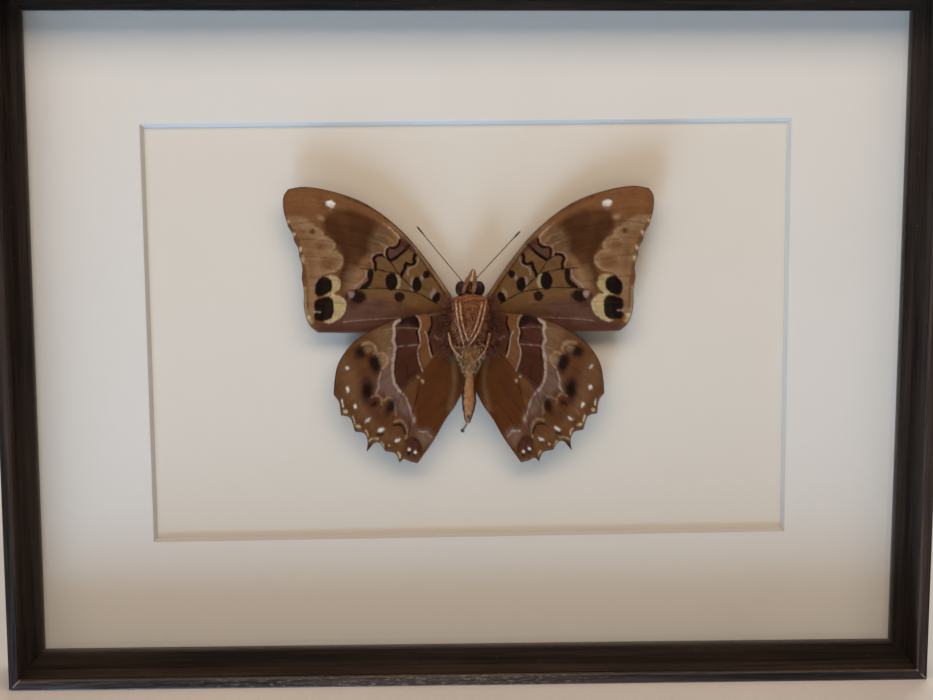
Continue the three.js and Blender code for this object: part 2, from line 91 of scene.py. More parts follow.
def smooth_line(points, steps):
    """Evenly spread points along a centripetal Catmull-Rom line through the points given."""
    p = np.asarray(points, float)
    held = np.vstack([2 * p[0] - p[1], p, 2 * p[-1] - p[-2]])
    t = np.linspace(0, 1, 24, endpoint=False)[:, None]
    fine = []
    for k in range(len(p) - 1):
        a, b, c, d = held[k : k + 4]
        d0, d1, d2 = (max(np.linalg.norm(v), 1e-6) ** 0.5 for v in (b - a, c - b, d - c))
        leave = ((b - a) / d0 - (c - a) / (d0 + d1) + (c - b) / d1) * d1
        arrive = ((c - b) / d1 - (d - b) / (d1 + d2) + (d - c) / d2) * d1
        fine.append(
            (2 * t**3 - 3 * t**2 + 1) * b + (t**3 - 2 * t**2 + t) * leave
            + (3 * t**2 - 2 * t**3) * c + (t**3 - t**2) * arrive
        )
    line = np.vstack([*fine, p[-1:]])
    length = np.r_[0, np.cumsum(np.linalg.norm(np.diff(line, axis=0), axis=1))]
    where = np.linspace(0, length[-1], steps + 1)
    return np.column_stack([np.interp(where, length, line[:, i]) for i in range(line.shape[1])])


def mottle(points, size, seed):
    """A smooth random field from -1 to 1 whose patches are about the size given."""
    table = np.random.default_rng(seed).uniform(-1, 1, (64, 64))
    q = np.asarray(points, float) / size + 100
    i = np.floor(q).astype(int)
    f = q - i
    f = f * f * (3 - 2 * f)
    i0, j0 = i[:, 0] % 64, i[:, 1] % 64
    i1, j1 = (i0 + 1) % 64, (j0 + 1) % 64
    near = table[i0, j0] * (1 - f[:, 0]) + table[i1, j0] * f[:, 0]
    far = table[i0, j1] * (1 - f[:, 0]) + table[i1, j1] * f[:, 0]
    return near * (1 - f[:, 1]) + far * f[:, 1]


def build_mesh(name, points, faces, colour=None):
    """A smooth mesh object from the specimen's millimetres; colour becomes its tone attribute."""
    mesh = bpy.data.meshes.new(name)
    place = np.asarray(points, float) * MM + ORIGIN
    mesh.from_pydata(place.tolist(), [], faces)
    mesh.polygons.foreach_set("use_smooth", [True] * len(mesh.polygons))
    if colour is not None:
        layer = mesh.attributes.new("tone", "FLOAT_COLOR", "POINT")
        rgba = np.column_stack([colour, np.ones(len(colour))]).astype(np.float32)
        layer.data.foreach_set("color", rgba.ravel())
    mesh.validate()
    mesh.update()
    made = bpy.data.objects.new(name, mesh)
    bpy.context.scene.collection.objects.link(made)
    return made


def settle(piece, slot, *nodes):
    """The piece takes its place in the part: its body, its slot and the solids it stands for."""
    if nodes:
        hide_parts(*nodes)
    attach(piece, "root")


def ring_faces(rings, sides):
    """Quads between stacked rings, with a fan at each end; the last two points are the end centres."""
    faces = []
    for i in range(rings - 1):
        for j in range(sides):
            k = (j + 1) % sides
            faces.append((i * sides + j, i * sides + k, (i + 1) * sides + k, (i + 1) * sides + j))
    first, last = rings * sides, rings * sides + 1
    top = (rings - 1) * sides
    for j in range(sides):
        k = (j + 1) % sides
        faces.append((k, j, first))
        faces.append((top + j, top + k, last))
    return faces


def tube(path, radii, sides):
    """Points and faces of a bar along a path, its radii spread evenly."""
    path = np.asarray(path, float)
    count = len(path)
    radius = np.interp(np.linspace(0, 1, count), np.linspace(0, 1, len(radii)), radii)
    tangent = np.gradient(path, axis=0)
    tangent /= np.linalg.norm(tangent, axis=1)[:, None]
    front = np.array([0.0, -1.0, 0.0])
    side = np.cross(tangent, front)
    side /= np.linalg.norm(side, axis=1)[:, None]
    normal = np.cross(side, tangent)
    turn = np.linspace(0, 2 * math.pi, sides, endpoint=False)
    rings = (
        path[:, None]
        + side[:, None] * (np.cos(turn) * radius[:, None])[..., None]
        + normal[:, None] * (np.sin(turn) * radius[:, None])[..., None]
    )
    points = np.vstack([rings.reshape(-1, 3), path[0], path[-1]])
    return points, ring_faces(count, sides)


def outward(piece):
    """Turns every face of a closed piece outwards."""
    work = bmesh.new()
    work.from_mesh(piece.data)
    bmesh.ops.recalc_face_normals(work, faces=work.faces)
    work.to_mesh(piece.data)
    work.free()


# ---- Node trees -------------------------------------------------------------------------------------------


class Tree:
    """Short calls for building a node tree."""

    def __init__(self, tree):
        self.tree = tree

    def node(self, kind, values=None, **settings):
        made = self.tree.nodes.new(kind)
        for key, value in settings.items():
            setattr(made, key, value)
        for key, value in (values or {}).items():
            self.put(made.inputs[key], value)
        return made

    def put(self, socket, value):
        if isinstance(value, bpy.types.NodeSocket):
            self.tree.links.new(value, socket)
        elif socket.type == "RGBA" and len(value) == 3:
            socket.default_value = (*value, 1.0)
        else:
            socket.default_value = value

    def math(self, operation, a, b=0.0):
        made = self.node("ShaderNodeMath", operation=operation)
        for socket, value in zip(made.inputs, (a, b)):
            self.put(socket, value)
        return made.outputs[0]

    def vector(self, operation, a, b=(0.0, 0.0, 0.0)):
        made = self.node("ShaderNodeVectorMath", {0: a, 1: b}, operation=operation)
        return made.outputs["Value" if operation in ("LENGTH", "DOT_PRODUCT") else "Vector"]

    def scaled(self, a, factor):
        made = self.node("ShaderNodeVectorMath", {0: a, "Scale": factor}, operation="SCALE")
        return made.outputs["Vector"]

    def mix(self, factor, a, b, blend="MIX"):
        made = self.node("ShaderNodeMix", data_type="RGBA", blend_type=blend)
        self.put(made.inputs[0], factor)
        self.put(made.inputs[6], a)
        self.put(made.inputs[7], b)
        return made.outputs[2]

    def span(self, value, low, high, to_low=0.0, to_high=1.0):
        """A value between two limits, spread smoothly to two others."""
        made = self.node(
            "ShaderNodeMapRange",
            {"Value": value, "From Min": low, "From Max": high, "To Min": to_low, "To Max": to_high},
            interpolation_type="SMOOTHSTEP",
        )
        return made.outputs["Result"]

    def noise(self, vector, scale, detail=2.0, roughness=0.5):
        values = {"Vector": vector, "Scale": scale, "Detail": detail, "Roughness": roughness}
        return self.node("ShaderNodeTexNoise", values).outputs["Fac"]


def shader_group(name, inputs, outputs):
    """A new shader node group with named sockets: (name, kind, default) and (name, kind)."""
    group = bpy.data.node_groups.new(name, "ShaderNodeTree")
    for label, kind, default in inputs:
        socket = group.interface.new_socket(label, in_out="INPUT", socket_type="NodeSocket" + kind)
        if default is not None:
            socket.default_value = (*default, 1.0) if kind == "Color" else default
    for label, kind in outputs:
        group.interface.new_socket(label, in_out="OUTPUT", socket_type="NodeSocket" + kind)
    tree = Tree(group)
    return group, tree, tree.node("NodeGroupInput").outputs, tree.node("NodeGroupOutput").inputs


def made_once(build):
    """A node group that is built at its first use and found again after that."""

    def found():
        group = bpy.data.node_groups.get(build.__doc__.split(":")[0])
        return group or build()

    return found


# Noise scales along and across the grain, for timber whose length runs along X.
GRAIN_BEND = (9.0, 90.0, 90.0)
LONG_STREAKS = (14.0, 520.0, 520.0)
FINE_STREAKS = (60.0, 2600.0, 2600.0)
PORES = (170.0, 5200.0, 5200.0)
BEND_REACH = 0.002  # how far the bend moves a streak


@made_once
def wood_grain():
    """Wood grain: streaks and open pores of timber whose length runs along X."""
    group, t, given, result = shader_group(
        "Wood grain",
        [("Vector", "Vector", None), ("Dark", "Color", rgb("1c1512")), ("Light", "Color", rgb("4a3a30")),
         ("Pores", "Float", 0.6)],
        [("Color", "Color"), ("Roughness", "Float"), ("Height", "Float")],
    )
    place = given["Vector"]
    stretched = t.vector("MULTIPLY", place, GRAIN_BEND)
    bend = t.node("ShaderNodeTexNoise", {"Vector": stretched, "Scale": 1.0, "Detail": 2.0}).outputs["Color"]
    moved = t.vector("ADD", place, t.scaled(bend, BEND_REACH))
    long_streak = t.noise(t.vector("MULTIPLY", moved, LONG_STREAKS), 1.0, 3.0)
    fine_streak = t.noise(t.vector("MULTIPLY", moved, FINE_STREAKS), 1.0, 3.0, 0.6)
    pore = t.noise(t.vector("MULTIPLY", moved, PORES), 1.0, 1.0)
    pore_mask = t.math("MULTIPLY", t.span(pore, 0.6, 0.74), given["Pores"])
    tone = t.math("ADD", t.math("MULTIPLY", long_streak, 0.62), t.math("MULTIPLY", fine_streak, 0.38))
    colour = t.mix(t.span(tone, 0.3, 0.72), given["Dark"], given["Light"])
    deep = t.mix(1.0, colour, (0.35, 0.33, 0.32), "MULTIPLY")
    t.put(result["Color"], t.mix(pore_mask, colour, deep))
    t.put(result["Roughness"], t.span(t.math("ADD", fine_streak, pore_mask), 0.3, 1.2, 0.34, 0.7))
    t.put(result["Height"], t.math("SUBTRACT", t.math("MULTIPLY", fine_streak, 0.5), pore_mask))
    return group


# Where the rails' front faces are marked: wear at the two lower mitres, and a painted highlight in light
# streaks along the bottom edge.
WORN_LOW = (0.02, 0.05)  # height over which the wear of the mitres fades out
WEAR_AND_HIGHLIGHT_FRONT = (-0.0132, -0.012)  # depth over which it fades out behind the rim's face
HIGHLIGHT_FOOT = (0.0025, 0.0045)  # height over which the painted highlight of the bottom edge fades out
HIGHLIGHT_MIDDLE = 0.02  # how far left of the middle the painted highlight is centred
HIGHLIGHT_REACH = (0.03, 0.07)  # distance from there over which they fade out


@made_once
def rubbed_mitres_and_highlight():
    """Mitre wear: a mask of rubbed wood on the front of the lower mitres and of the bottom edge."""
    group, t, given, result = shader_group(
        "Rubbed mitres and painted highlight",
        [("Vector", "Vector", None), ("Half Width", "Float", 0.12), ("Height", "Float", 0.18),
         ("Line Width", "Float", 0.0004)],
        [("Mask", "Float")],
    )
    place = t.node("ShaderNodeSeparateXYZ", {"Vector": given["Vector"]}).outputs
    from_side = t.math("SUBTRACT", given["Half Width"], t.math("ABSOLUTE", place["X"]))
    from_end = t.math("MINIMUM", place["Z"], t.math("SUBTRACT", given["Height"], place["Z"]))
    off = t.math("ABSOLUTE", t.math("SUBTRACT", from_side, from_end))
    line = t.math("SUBTRACT", 1.0, t.span(off, 0.0, given["Line Width"]))
    low = t.math("SUBTRACT", 1.0, t.span(place["Z"], *WORN_LOW))
    front = t.math("SUBTRACT", 1.0, t.span(place["Y"], *WEAR_AND_HIGHLIGHT_FRONT))
    broken = t.span(t.noise(given["Vector"], 900.0, 2.0), 0.4, 0.6)
    corner = t.math("MULTIPLY", t.math("MULTIPLY", line, front), t.math("MULTIPLY", low, broken))
    # Painted highlight: light streaks on the front of the bottom edge, a little left of the middle, where the
    # rim catches the light.
    foot = t.math("SUBTRACT", 1.0, t.span(place["Z"], *HIGHLIGHT_FOOT))
    off_middle = t.math("ABSOLUTE", t.math("ADD", place["X"], HIGHLIGHT_MIDDLE))
    middle_part = t.math("SUBTRACT", 1.0, t.span(off_middle, *HIGHLIGHT_REACH))
    highlight_streaks = t.noise(t.vector("MULTIPLY", given["Vector"], (700.0, 2600.0, 2600.0)), 1.0, 3.0, 0.7)
    edge_highlight = t.math("MULTIPLY", t.math("MULTIPLY", foot, middle_part), t.span(highlight_streaks, 0.5, 0.75, 0.0, 0.55))
    t.put(result["Mask"], t.math("MAXIMUM", corner, t.math("MULTIPLY", edge_highlight, front)))
    return group


@made_once
def paper_fibre():
    """Paper fibre: soft clouding, fibres and a slight tooth for card and paper."""
    group, t, given, result = shader_group(
        "Paper fibre",
        [("Vector", "Vector", None), ("Base", "Color", (0.8, 0.8, 0.8)), ("Tint", "Color", (0.7, 0.66, 0.6)),
         ("Fibre", "Float", 0.5)],
        [("Color", "Color"), ("Roughness", "Float"), ("Height", "Float")],
    )
    place = given["Vector"]
    cloud = t.noise(place, 22.0, 3.0)
    fibre = t.noise(t.vector("MULTIPLY", place, (900.0, 900.0, 2100.0)), 1.0, 3.0, 0.6)
    tooth = t.noise(place, 5200.0, 2.0)
    stained = t.mix(t.math("MULTIPLY", t.span(cloud, 0.5, 0.8), 0.12), given["Base"], given["Tint"])
    flecked = t.mix(t.math("MULTIPLY", t.span(fibre, 0.5, 0.8), t.math("MULTIPLY", given["Fibre"], 0.16)),
                    stained, given["Tint"])
    t.put(result["Color"], flecked)
    t.put(result["Roughness"], t.span(tooth, 0.2, 0.8, 0.82, 0.96))
    t.put(result["Height"], t.math("ADD", t.math("MULTIPLY", fibre, given["Fibre"]), tooth))
    return group


@made_once
def specks():
    """Specks: sparse pale dust motes as a mask."""
    group, t, given, result = shader_group(
        "Specks", [("Vector", "Vector", None), ("Spacing", "Float", 260.0), ("Size", "Float", 0.05)],
        [("Mask", "Float")],
    )
    cells = t.node("ShaderNodeTexVoronoi", {"Vector": given["Vector"], "Scale": given["Spacing"]})
    inside = t.math("LESS_THAN", cells.outputs["Distance"], given["Size"])
    chosen = t.math("GREATER_THAN", t.vector("DOT_PRODUCT", cells.outputs["Color"], (1.0, 0.0, 0.0)), 0.8)
    t.put(result["Mask"], t.math("MULTIPLY", inside, chosen))
    return group


@made_once
def wing_scales():
    """Wing scales: the fine dusty grain of overlapping scales over a wing's own colour."""
    group, t, given, result = shader_group(
        "Wing scales",
        [("Vector", "Vector", None), ("Base", "Color", (0.2, 0.1, 0.05)), ("Grain", "Float", 0.5)],
        [("Color", "Color"), ("Roughness", "Float"), ("Height", "Float")],
    )
    place = given["Vector"]
    dust = t.noise(place, 2600.0, 3.0, 0.65)
    cloud = t.noise(place, 420.0, 3.0)
    light = t.mix(t.math("MULTIPLY", t.span(dust, 0.5, 0.85), given["Grain"]), given["Base"],
                  t.mix(0.02, t.mix(1.0, given["Base"], (1.5, 1.4, 1.32), "MULTIPLY"), rgb("c8a67e")))
    dark = t.mix(t.math("MULTIPLY", t.span(cloud, 0.5, 0.85), given["Grain"]), light,
                 t.mix(1.0, light, (0.62, 0.58, 0.56), "MULTIPLY"))
    t.put(result["Color"], dark)
    t.put(result["Roughness"], t.span(dust, 0.2, 0.8, 0.62, 0.86))
    t.put(result["Height"], t.math("ADD", t.math("MULTIPLY", cloud, 0.6), dust))
    return group


def shaded(name, socket_values, nodes=None):
    """A material with one Principled shader. nodes(t) may return sockets for its inputs and a height."""
    material = bpy.data.materials.new(name)
    material.use_nodes = True
    material.node_tree.nodes.clear()
    t = Tree(material.node_tree)
    shader = t.node("ShaderNodeBsdfPrincipled", socket_values)
    output = t.node("ShaderNodeOutputMaterial", {"Surface": shader.outputs["BSDF"]})
    wired = nodes(t) if nodes else {}
    height = wired.pop("Height", None)
    for key, value in wired.items():
        t.put(shader.inputs[key], value)
    if height:
        socket, strength, depth = height
        bump = t.node("ShaderNodeBump", {"Height": socket, "Strength": strength, "Distance": depth})
        t.put(shader.inputs["Normal"], bump.outputs["Normal"])
    return material, t, shader, output


def object_place(t):
    return t.node("ShaderNodeTexCoord").outputs["Object"]


def use_group(t, group, values):
    made = t.node("ShaderNodeGroup", node_tree=group)
    for key, value in values.items():
        t.put(made.inputs[key], value)
    return made.outputs


def dress(node, material):
    """Gives a packed node's own mesh a better material."""
    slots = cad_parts[node].data.materials
    for index in range(len(slots)):
        slots[index] = material
    if not slots:
        slots.append(material)


# ---- Settings ---------------------------------------------------------------------------------------------


def colour_setting(name, text, about):
    return bpy.props.FloatVectorProperty(
        name=name, description=about, subtype="COLOR", size=3, min=0, max=1, default=rgb(text)
    )


def length_setting(name, default, about):
    return bpy.props.FloatProperty(name=name, description=about, default=default, min=0, unit="LENGTH",
                                   subtype="DISTANCE", precision=5)


def power_setting(name, default, about):
    return bpy.props.FloatProperty(name=name, description=about, default=default, min=0, unit="POWER")


class FrameSettings(bpy.types.PropertyGroup):
    """Colours of the frame, its boards and its fittings."""

    wood_dark: colour_setting("Dark Grain", "16110e", "Colour of the dark streaks in the rails")
    wood_light: colour_setting("Light Grain", "463830", "Colour of the light streaks in the rails")
    # Besides the mitres' wear, this colour paints the highlight streaks along the bottom edge.
    wood_worn_and_highlight: colour_setting("Worn and Lit Wood", "a39078", "Colour where the mitres are rubbed")
    card: colour_setting("Mat", "e3e1dd", "Face of the bevelled mat")
    # The mat's inner layer as seen on the bevel and edges, painted greyer than the face: painted shade.
    card_core_and_shade: colour_setting("Mat Core and Shade", "c2bfbb", "Core of the mat, seen on the bevel")
    board: colour_setting("Board", "e2ddd4", "Face of the pinning board")
    panel: colour_setting("Panel", "7a5a3c", "Hardboard panel that closes the back")
    steel: colour_setting("Steel", "b4b4b0", "Tabs, hanger and pins")


class WingSettings(bpy.types.PropertyGroup):
    """Colours of the wings' scales and the size of their relief."""

    brown: colour_setting("Forewing Brown", "714928", "Ground colour of the forewing")
    russet: colour_setting("Russet", "7a5232", "Reddish brown of the forewing's tip and front edge")
    umber: colour_setting("Umber", "3c200f", "Dark brown of the forewing's middle")
    tan: colour_setting("Tan", "987a5a", "Pale scallops and the pale band near the margin")
    ochre: colour_setting("Ochre", "6c4e2d", "Yellow brown between the black marks")
    straw: colour_setting("Straw", "b39c70", "Yellow crescents beside the black spots")
    cream: colour_setting("Cream", "cdbb90", "Palest outlines and margin spots")
    white: colour_setting("White", "e4dfd4", "White spots")
    black: colour_setting("Black", "120806", "Black marks, veins and margin line")
    maroon: colour_setting("Maroon", "4a271c", "Dark reddish fillings of the marks")
    plum: colour_setting("Plum", "5c3e33", "Purple brown of the forewing's lower part")
    lilac: colour_setting("Lilac", "a58f82", "Lilac grey outlines")
    hind_brown: colour_setting("Hindwing Brown", "603c20", "Ground colour of the hindwing")
    hind_fold: colour_setting("Inner Field", "542d10", "Plain brown field beside the abdomen")
    relief: length_setting("Relief", 0.00005, "How far the veins stand up")


class BodySettings(bpy.types.PropertyGroup):
    """Colours and hair of the body."""

    fur: colour_setting("Thorax Hair", "c08058", "Rust-brown hair of the thorax")
    fur_root: colour_setting("Wing Root Hair", "8a5a46", "Purple-brown hair over the wing roots")
    fur_pale: colour_setting("Pale Hair", "dcb484", "Paler hair between the legs and on the wing roots")
    abdomen: colour_setting("Abdomen", "b07c4c", "Front of the abdomen")
    abdomen_side: colour_setting("Abdomen Sides", "32190f", "Dark sides of the abdomen")
    palp: colour_setting("Palps", "b8845e", "Scaled palps")
    eye: colour_setting("Eyes", "200b07", "Dried compound eyes")
    antenna: colour_setting("Antennae", "34302a", "Antennae")
    leg: colour_setting("Legs", "cf9f78", "Legs folded on the thorax")
    hair_length: length_setting("Hair Length", 0.0013, "Length of the thorax's hairs")
    hair_width: length_setting("Hair Width", 0.0003, "Width of a hair at its root")
    hair_density: bpy.props.FloatProperty(
        name="Hair Density", description="Hairs per square millimetre of thorax", default=6.0, min=0)


class StageSettings(bpy.types.PropertyGroup):
    """Floor, lights and camera."""

    floor: colour_setting("Floor", "c9c7c3", "Plain pale floor")
    key_power: power_setting("Window Light", 6.6, "Power of the wide warm light from above")
    cool_power: power_setting("Cool Light", 17.0, "Power of the small cool light from low on the left")
    back_power: power_setting("Back Light", 14.0, "Power of the soft light behind the frame")
    lens: bpy.props.FloatProperty(
        name="Lens", description="Focal length of the camera", default=72.9, min=1, unit="CAMERA")


SETTINGS = {
    "butterfly_frame": FrameSettings,
    "butterfly_wings": WingSettings,
    "butterfly_body": BodySettings,
    "butterfly_stage": StageSettings,
}


# ---- Wings ------------------------------------------------------------------------------------------------

# Outlines in X outward from the body and Z up, for the right side; the left side is mirrored.
# A margin is a row of spans, each from one vein's end to the next.
FOREWING = {
    "costa": [(4.6, 6.4), (10.7, 15.4), (17.7, 23.8), (27.2, 31.0), (37.0, 34.5), (43.5, 35.4), (47.2, 34.8)],
    "margin": [
        [(47.2, 34.8), (48.4, 33.0), (48.5, 29.5), (47.4, 25.2)],
        [(47.4, 25.2), (46.3, 23.2), (45.8, 21.2)],
        [(45.8, 21.2), (44.8, 19.2), (44.5, 17.0)],
        [(44.5, 17.0), (43.8, 14.3), (44.0, 11.5)],
        [(44.0, 11.5), (43.5, 8.0), (43.6, 4.6)],
        [(43.6, 4.6), (43.1, 1.4), (41.9, -1.3), (39.8, -3.0)],
    ],
    "steps": [6, 4, 4, 4, 4, 6],
    "inner": [(4.6, 1.0), (15.0, -1.2), (28.0, -3.0), (39.8, -3.0)],
    "fine": 9,
    "rows": 288,
    "height": (2.9, 0.9),
}
HINDWING = {
    "costa": [(4.6, 3.4), (9.5, 2.2), (15.2, 1.5), (19.4, 0.6), (24.0, -1.5), (28.0, -3.6)],
    "margin": [
        [(28.0, -3.6), (31.6, -6.6), (34.8, -11.6), (35.7, -16.0), (36.0, -19.6)],
        [(36.0, -19.6), (34.6, -21.6), (34.1, -25.1)],
        [(34.1, -25.1), (31.8, -25.8), (30.4, -29.5)],
        [(30.4, -29.5), (27.9, -30.2), (27.1, -32.2), (27.4, -35.1)],
        [(27.4, -35.1), (26.1, -33.2), (24.2, -32.6), (22.4, -34.9)],
        [(22.4, -34.9), (19.7, -35.7), (18.6, -38.1)],
        [(18.6, -38.1), (17.5, -37.1), (15.9, -37.8), (13.8, -38.3)],
    ],
    "steps": [8, 4, 4, 5, 5, 4, 4],
    "inner": [(4.6, -3.5), (3.8, -7.4), (2.0, -11.5), (1.1, -16.5), (3.4, -22.3), (6.2, -26.4), (9.4, -32.0),
              (13.8, -38.3)],
    "fine": 9,
    "rows": 216,
    "height": (3.95, 0.35),
}
SKIN_T = 0.12  # thickness of a wing
PLEAT = 0.05  # dip of the skin between two veins
BACK_STEP = 3  # the unseen side of a wing has one face where the front has this many each way
SKIN_SHIFT = 0.09  # brings the skin's front to the front of the thicker solid wing
TOOTH_START = 0.8  # share of the way to the margin from which its teeth show
EVENING = 14  # rounds of smoothing that take the teeth out of the inner rows
SPREAD = (0.05, 0.5)  # share of the way to the margin over which pleats and ridges come in
WARP = 0.06  # slow rise and fall of a dried wing
WARP_SIZE = 7.0
VEIN_W = 0.22  # half width of the ridge along a vein


def wing_sheet(wing, side, relief):
    """Grid of front points of a wing: (across, rows, 3), in millimetres."""
    fine, rows = wing["fine"], wing["rows"]
    spans = [smooth_line(span, n * fine)[:-1] for span, n in zip(wing["margin"], wing["steps"])]
    margin = np.vstack([*spans, np.array(wing["margin"][-1][-1:], float)])
    even = margin[::fine].copy()
    for _ in range(EVENING):
        even[1:-1] = 0.5 * even[1:-1] + 0.25 * (even[:-2] + even[2:])
    index = np.arange(len(margin)) / fine
    even = np.column_stack([np.interp(index, np.arange(len(even)), even[:, i]) for i in (0, 1)])
    u = np.linspace(0, 1, len(margin))[:, None, None]
    v = np.linspace(0, 1, rows + 1)[None, :, None]
    costa = smooth_line(wing["costa"], rows)[None]
    inner = smooth_line(wing["inner"], rows)[None]
    root = costa[:, :1] * (1 - u) + inner[:, :1] * u
    tip = costa[:, -1:] * (1 - u) + inner[:, -1:] * u
    flat = costa * (1 - u) + inner * u + root * (1 - v) + even[:, None] * v - (root * (1 - v) + tip * v)
    flat = flat + (margin - even)[:, None] * smoothstep(v, TOOTH_START, 1)
    between, off_vein = vein_fields(wing, flat)
    spread = smoothstep(v[..., 0], *SPREAD)
    base, rise = wing["height"]
    ridge = np.exp(-((off_vein / VEIN_W) ** 2))
    height = base + rise * v[..., 0] - PLEAT * between * spread + relief * ridge * spread
    height = height + WARP * mottle(flat.reshape(-1, 2), WARP_SIZE, 5).reshape(height.shape) * spread
    return np.stack([side * flat[..., 0], -(height + SKIN_T / 2 + SKIN_SHIFT), flat[..., 1]], axis=-1)


def vein_fields(wing, flat):
    """How far between two veins each point lies, 0 to 1, and its distance from the nearest vein."""
    between = np.zeros(flat.shape[:2])
    off = np.full(flat.shape[:2], 9.0)
    step = np.linalg.norm(np.gradient(flat, axis=0), axis=2)
    start = 0
    for n in wing["steps"]:
        count = n * wing["fine"]
        place = np.arange(count + 1)
        between[start : start + count + 1] = np.sin(place / count * math.pi)[:, None]
        for end in (start, start + count):
            if 0 < end < len(flat) - 1:
                away = np.abs(np.arange(len(flat)) - end)[:, None] * step
                off = np.minimum(off, away)
        start += count
    return between, off


def sheet_body(front, thickness):
    """A closed thin body: a fine front grid, a coarser back and a rim that joins them."""
    across, rows = front.shape[0] - 1, front.shape[1] - 1
    back = front[::BACK_STEP, ::BACK_STEP] + np.array([0, thickness, 0])
    points = np.vstack([front.reshape(-1, 3), back.reshape(-1, 3)])
    faces = grid_faces(across, rows, 0, False)
    faces += grid_faces(across // BACK_STEP, rows // BACK_STEP, (across + 1) * (rows + 1), True)
    fine_loop = grid_loop(across, rows, 0)
    back_loop = grid_loop(across // BACK_STEP, rows // BACK_STEP, (across + 1) * (rows + 1))
    for k, start in enumerate(back_loop):
        follow = back_loop[(k + 1) % len(back_loop)]
        run = [fine_loop[(k * BACK_STEP + j) % len(fine_loop)] for j in range(BACK_STEP + 1)]
        faces += [(run[j], run[j + 1], start) for j in range(BACK_STEP)]
        faces.append((run[-1], follow, start))
    return points, faces


def grid_faces(across, rows, first, turned):
    at = first + np.arange((across + 1) * (rows + 1)).reshape(across + 1, rows + 1)
    quads = np.stack([at[:-1, :-1], at[1:, :-1], at[1:, 1:], at[:-1, 1:]], axis=-1).reshape(-1, 4)
    return (quads[:, ::-1] if turned else quads).tolist()


def grid_loop(across, rows, first):
    at = first + np.arange((across + 1) * (rows + 1)).reshape(across + 1, rows + 1)
    return [*at[:-1, 0], *at[-1, :-1], *at[:0:-1, -1], *at[0, :0:-1]]


# ---- Wing markings ----------------------------------------------------------------------------------------

# Marks are placed in a close view of each left wing. In the 933 x 700 frame of the camera, corner is
# that view's upper left pixel and BODY_PIXEL is the specimen's own origin. enlarged is how many times larger
# the view is, and pixel is the size of one frame pixel on the wing in millimetres, across and up.
BODY_PIXEL = (469.1, 320.6)
FOREWING_VIEW = {"corner": (270, 170), "enlarged": 7.467, "pixel": (0.2624, 0.2640)}
HINDWING_VIEW = {"corner": (320, 300), "enlarged": 8.711, "pixel": (0.2654, 0.2696)}

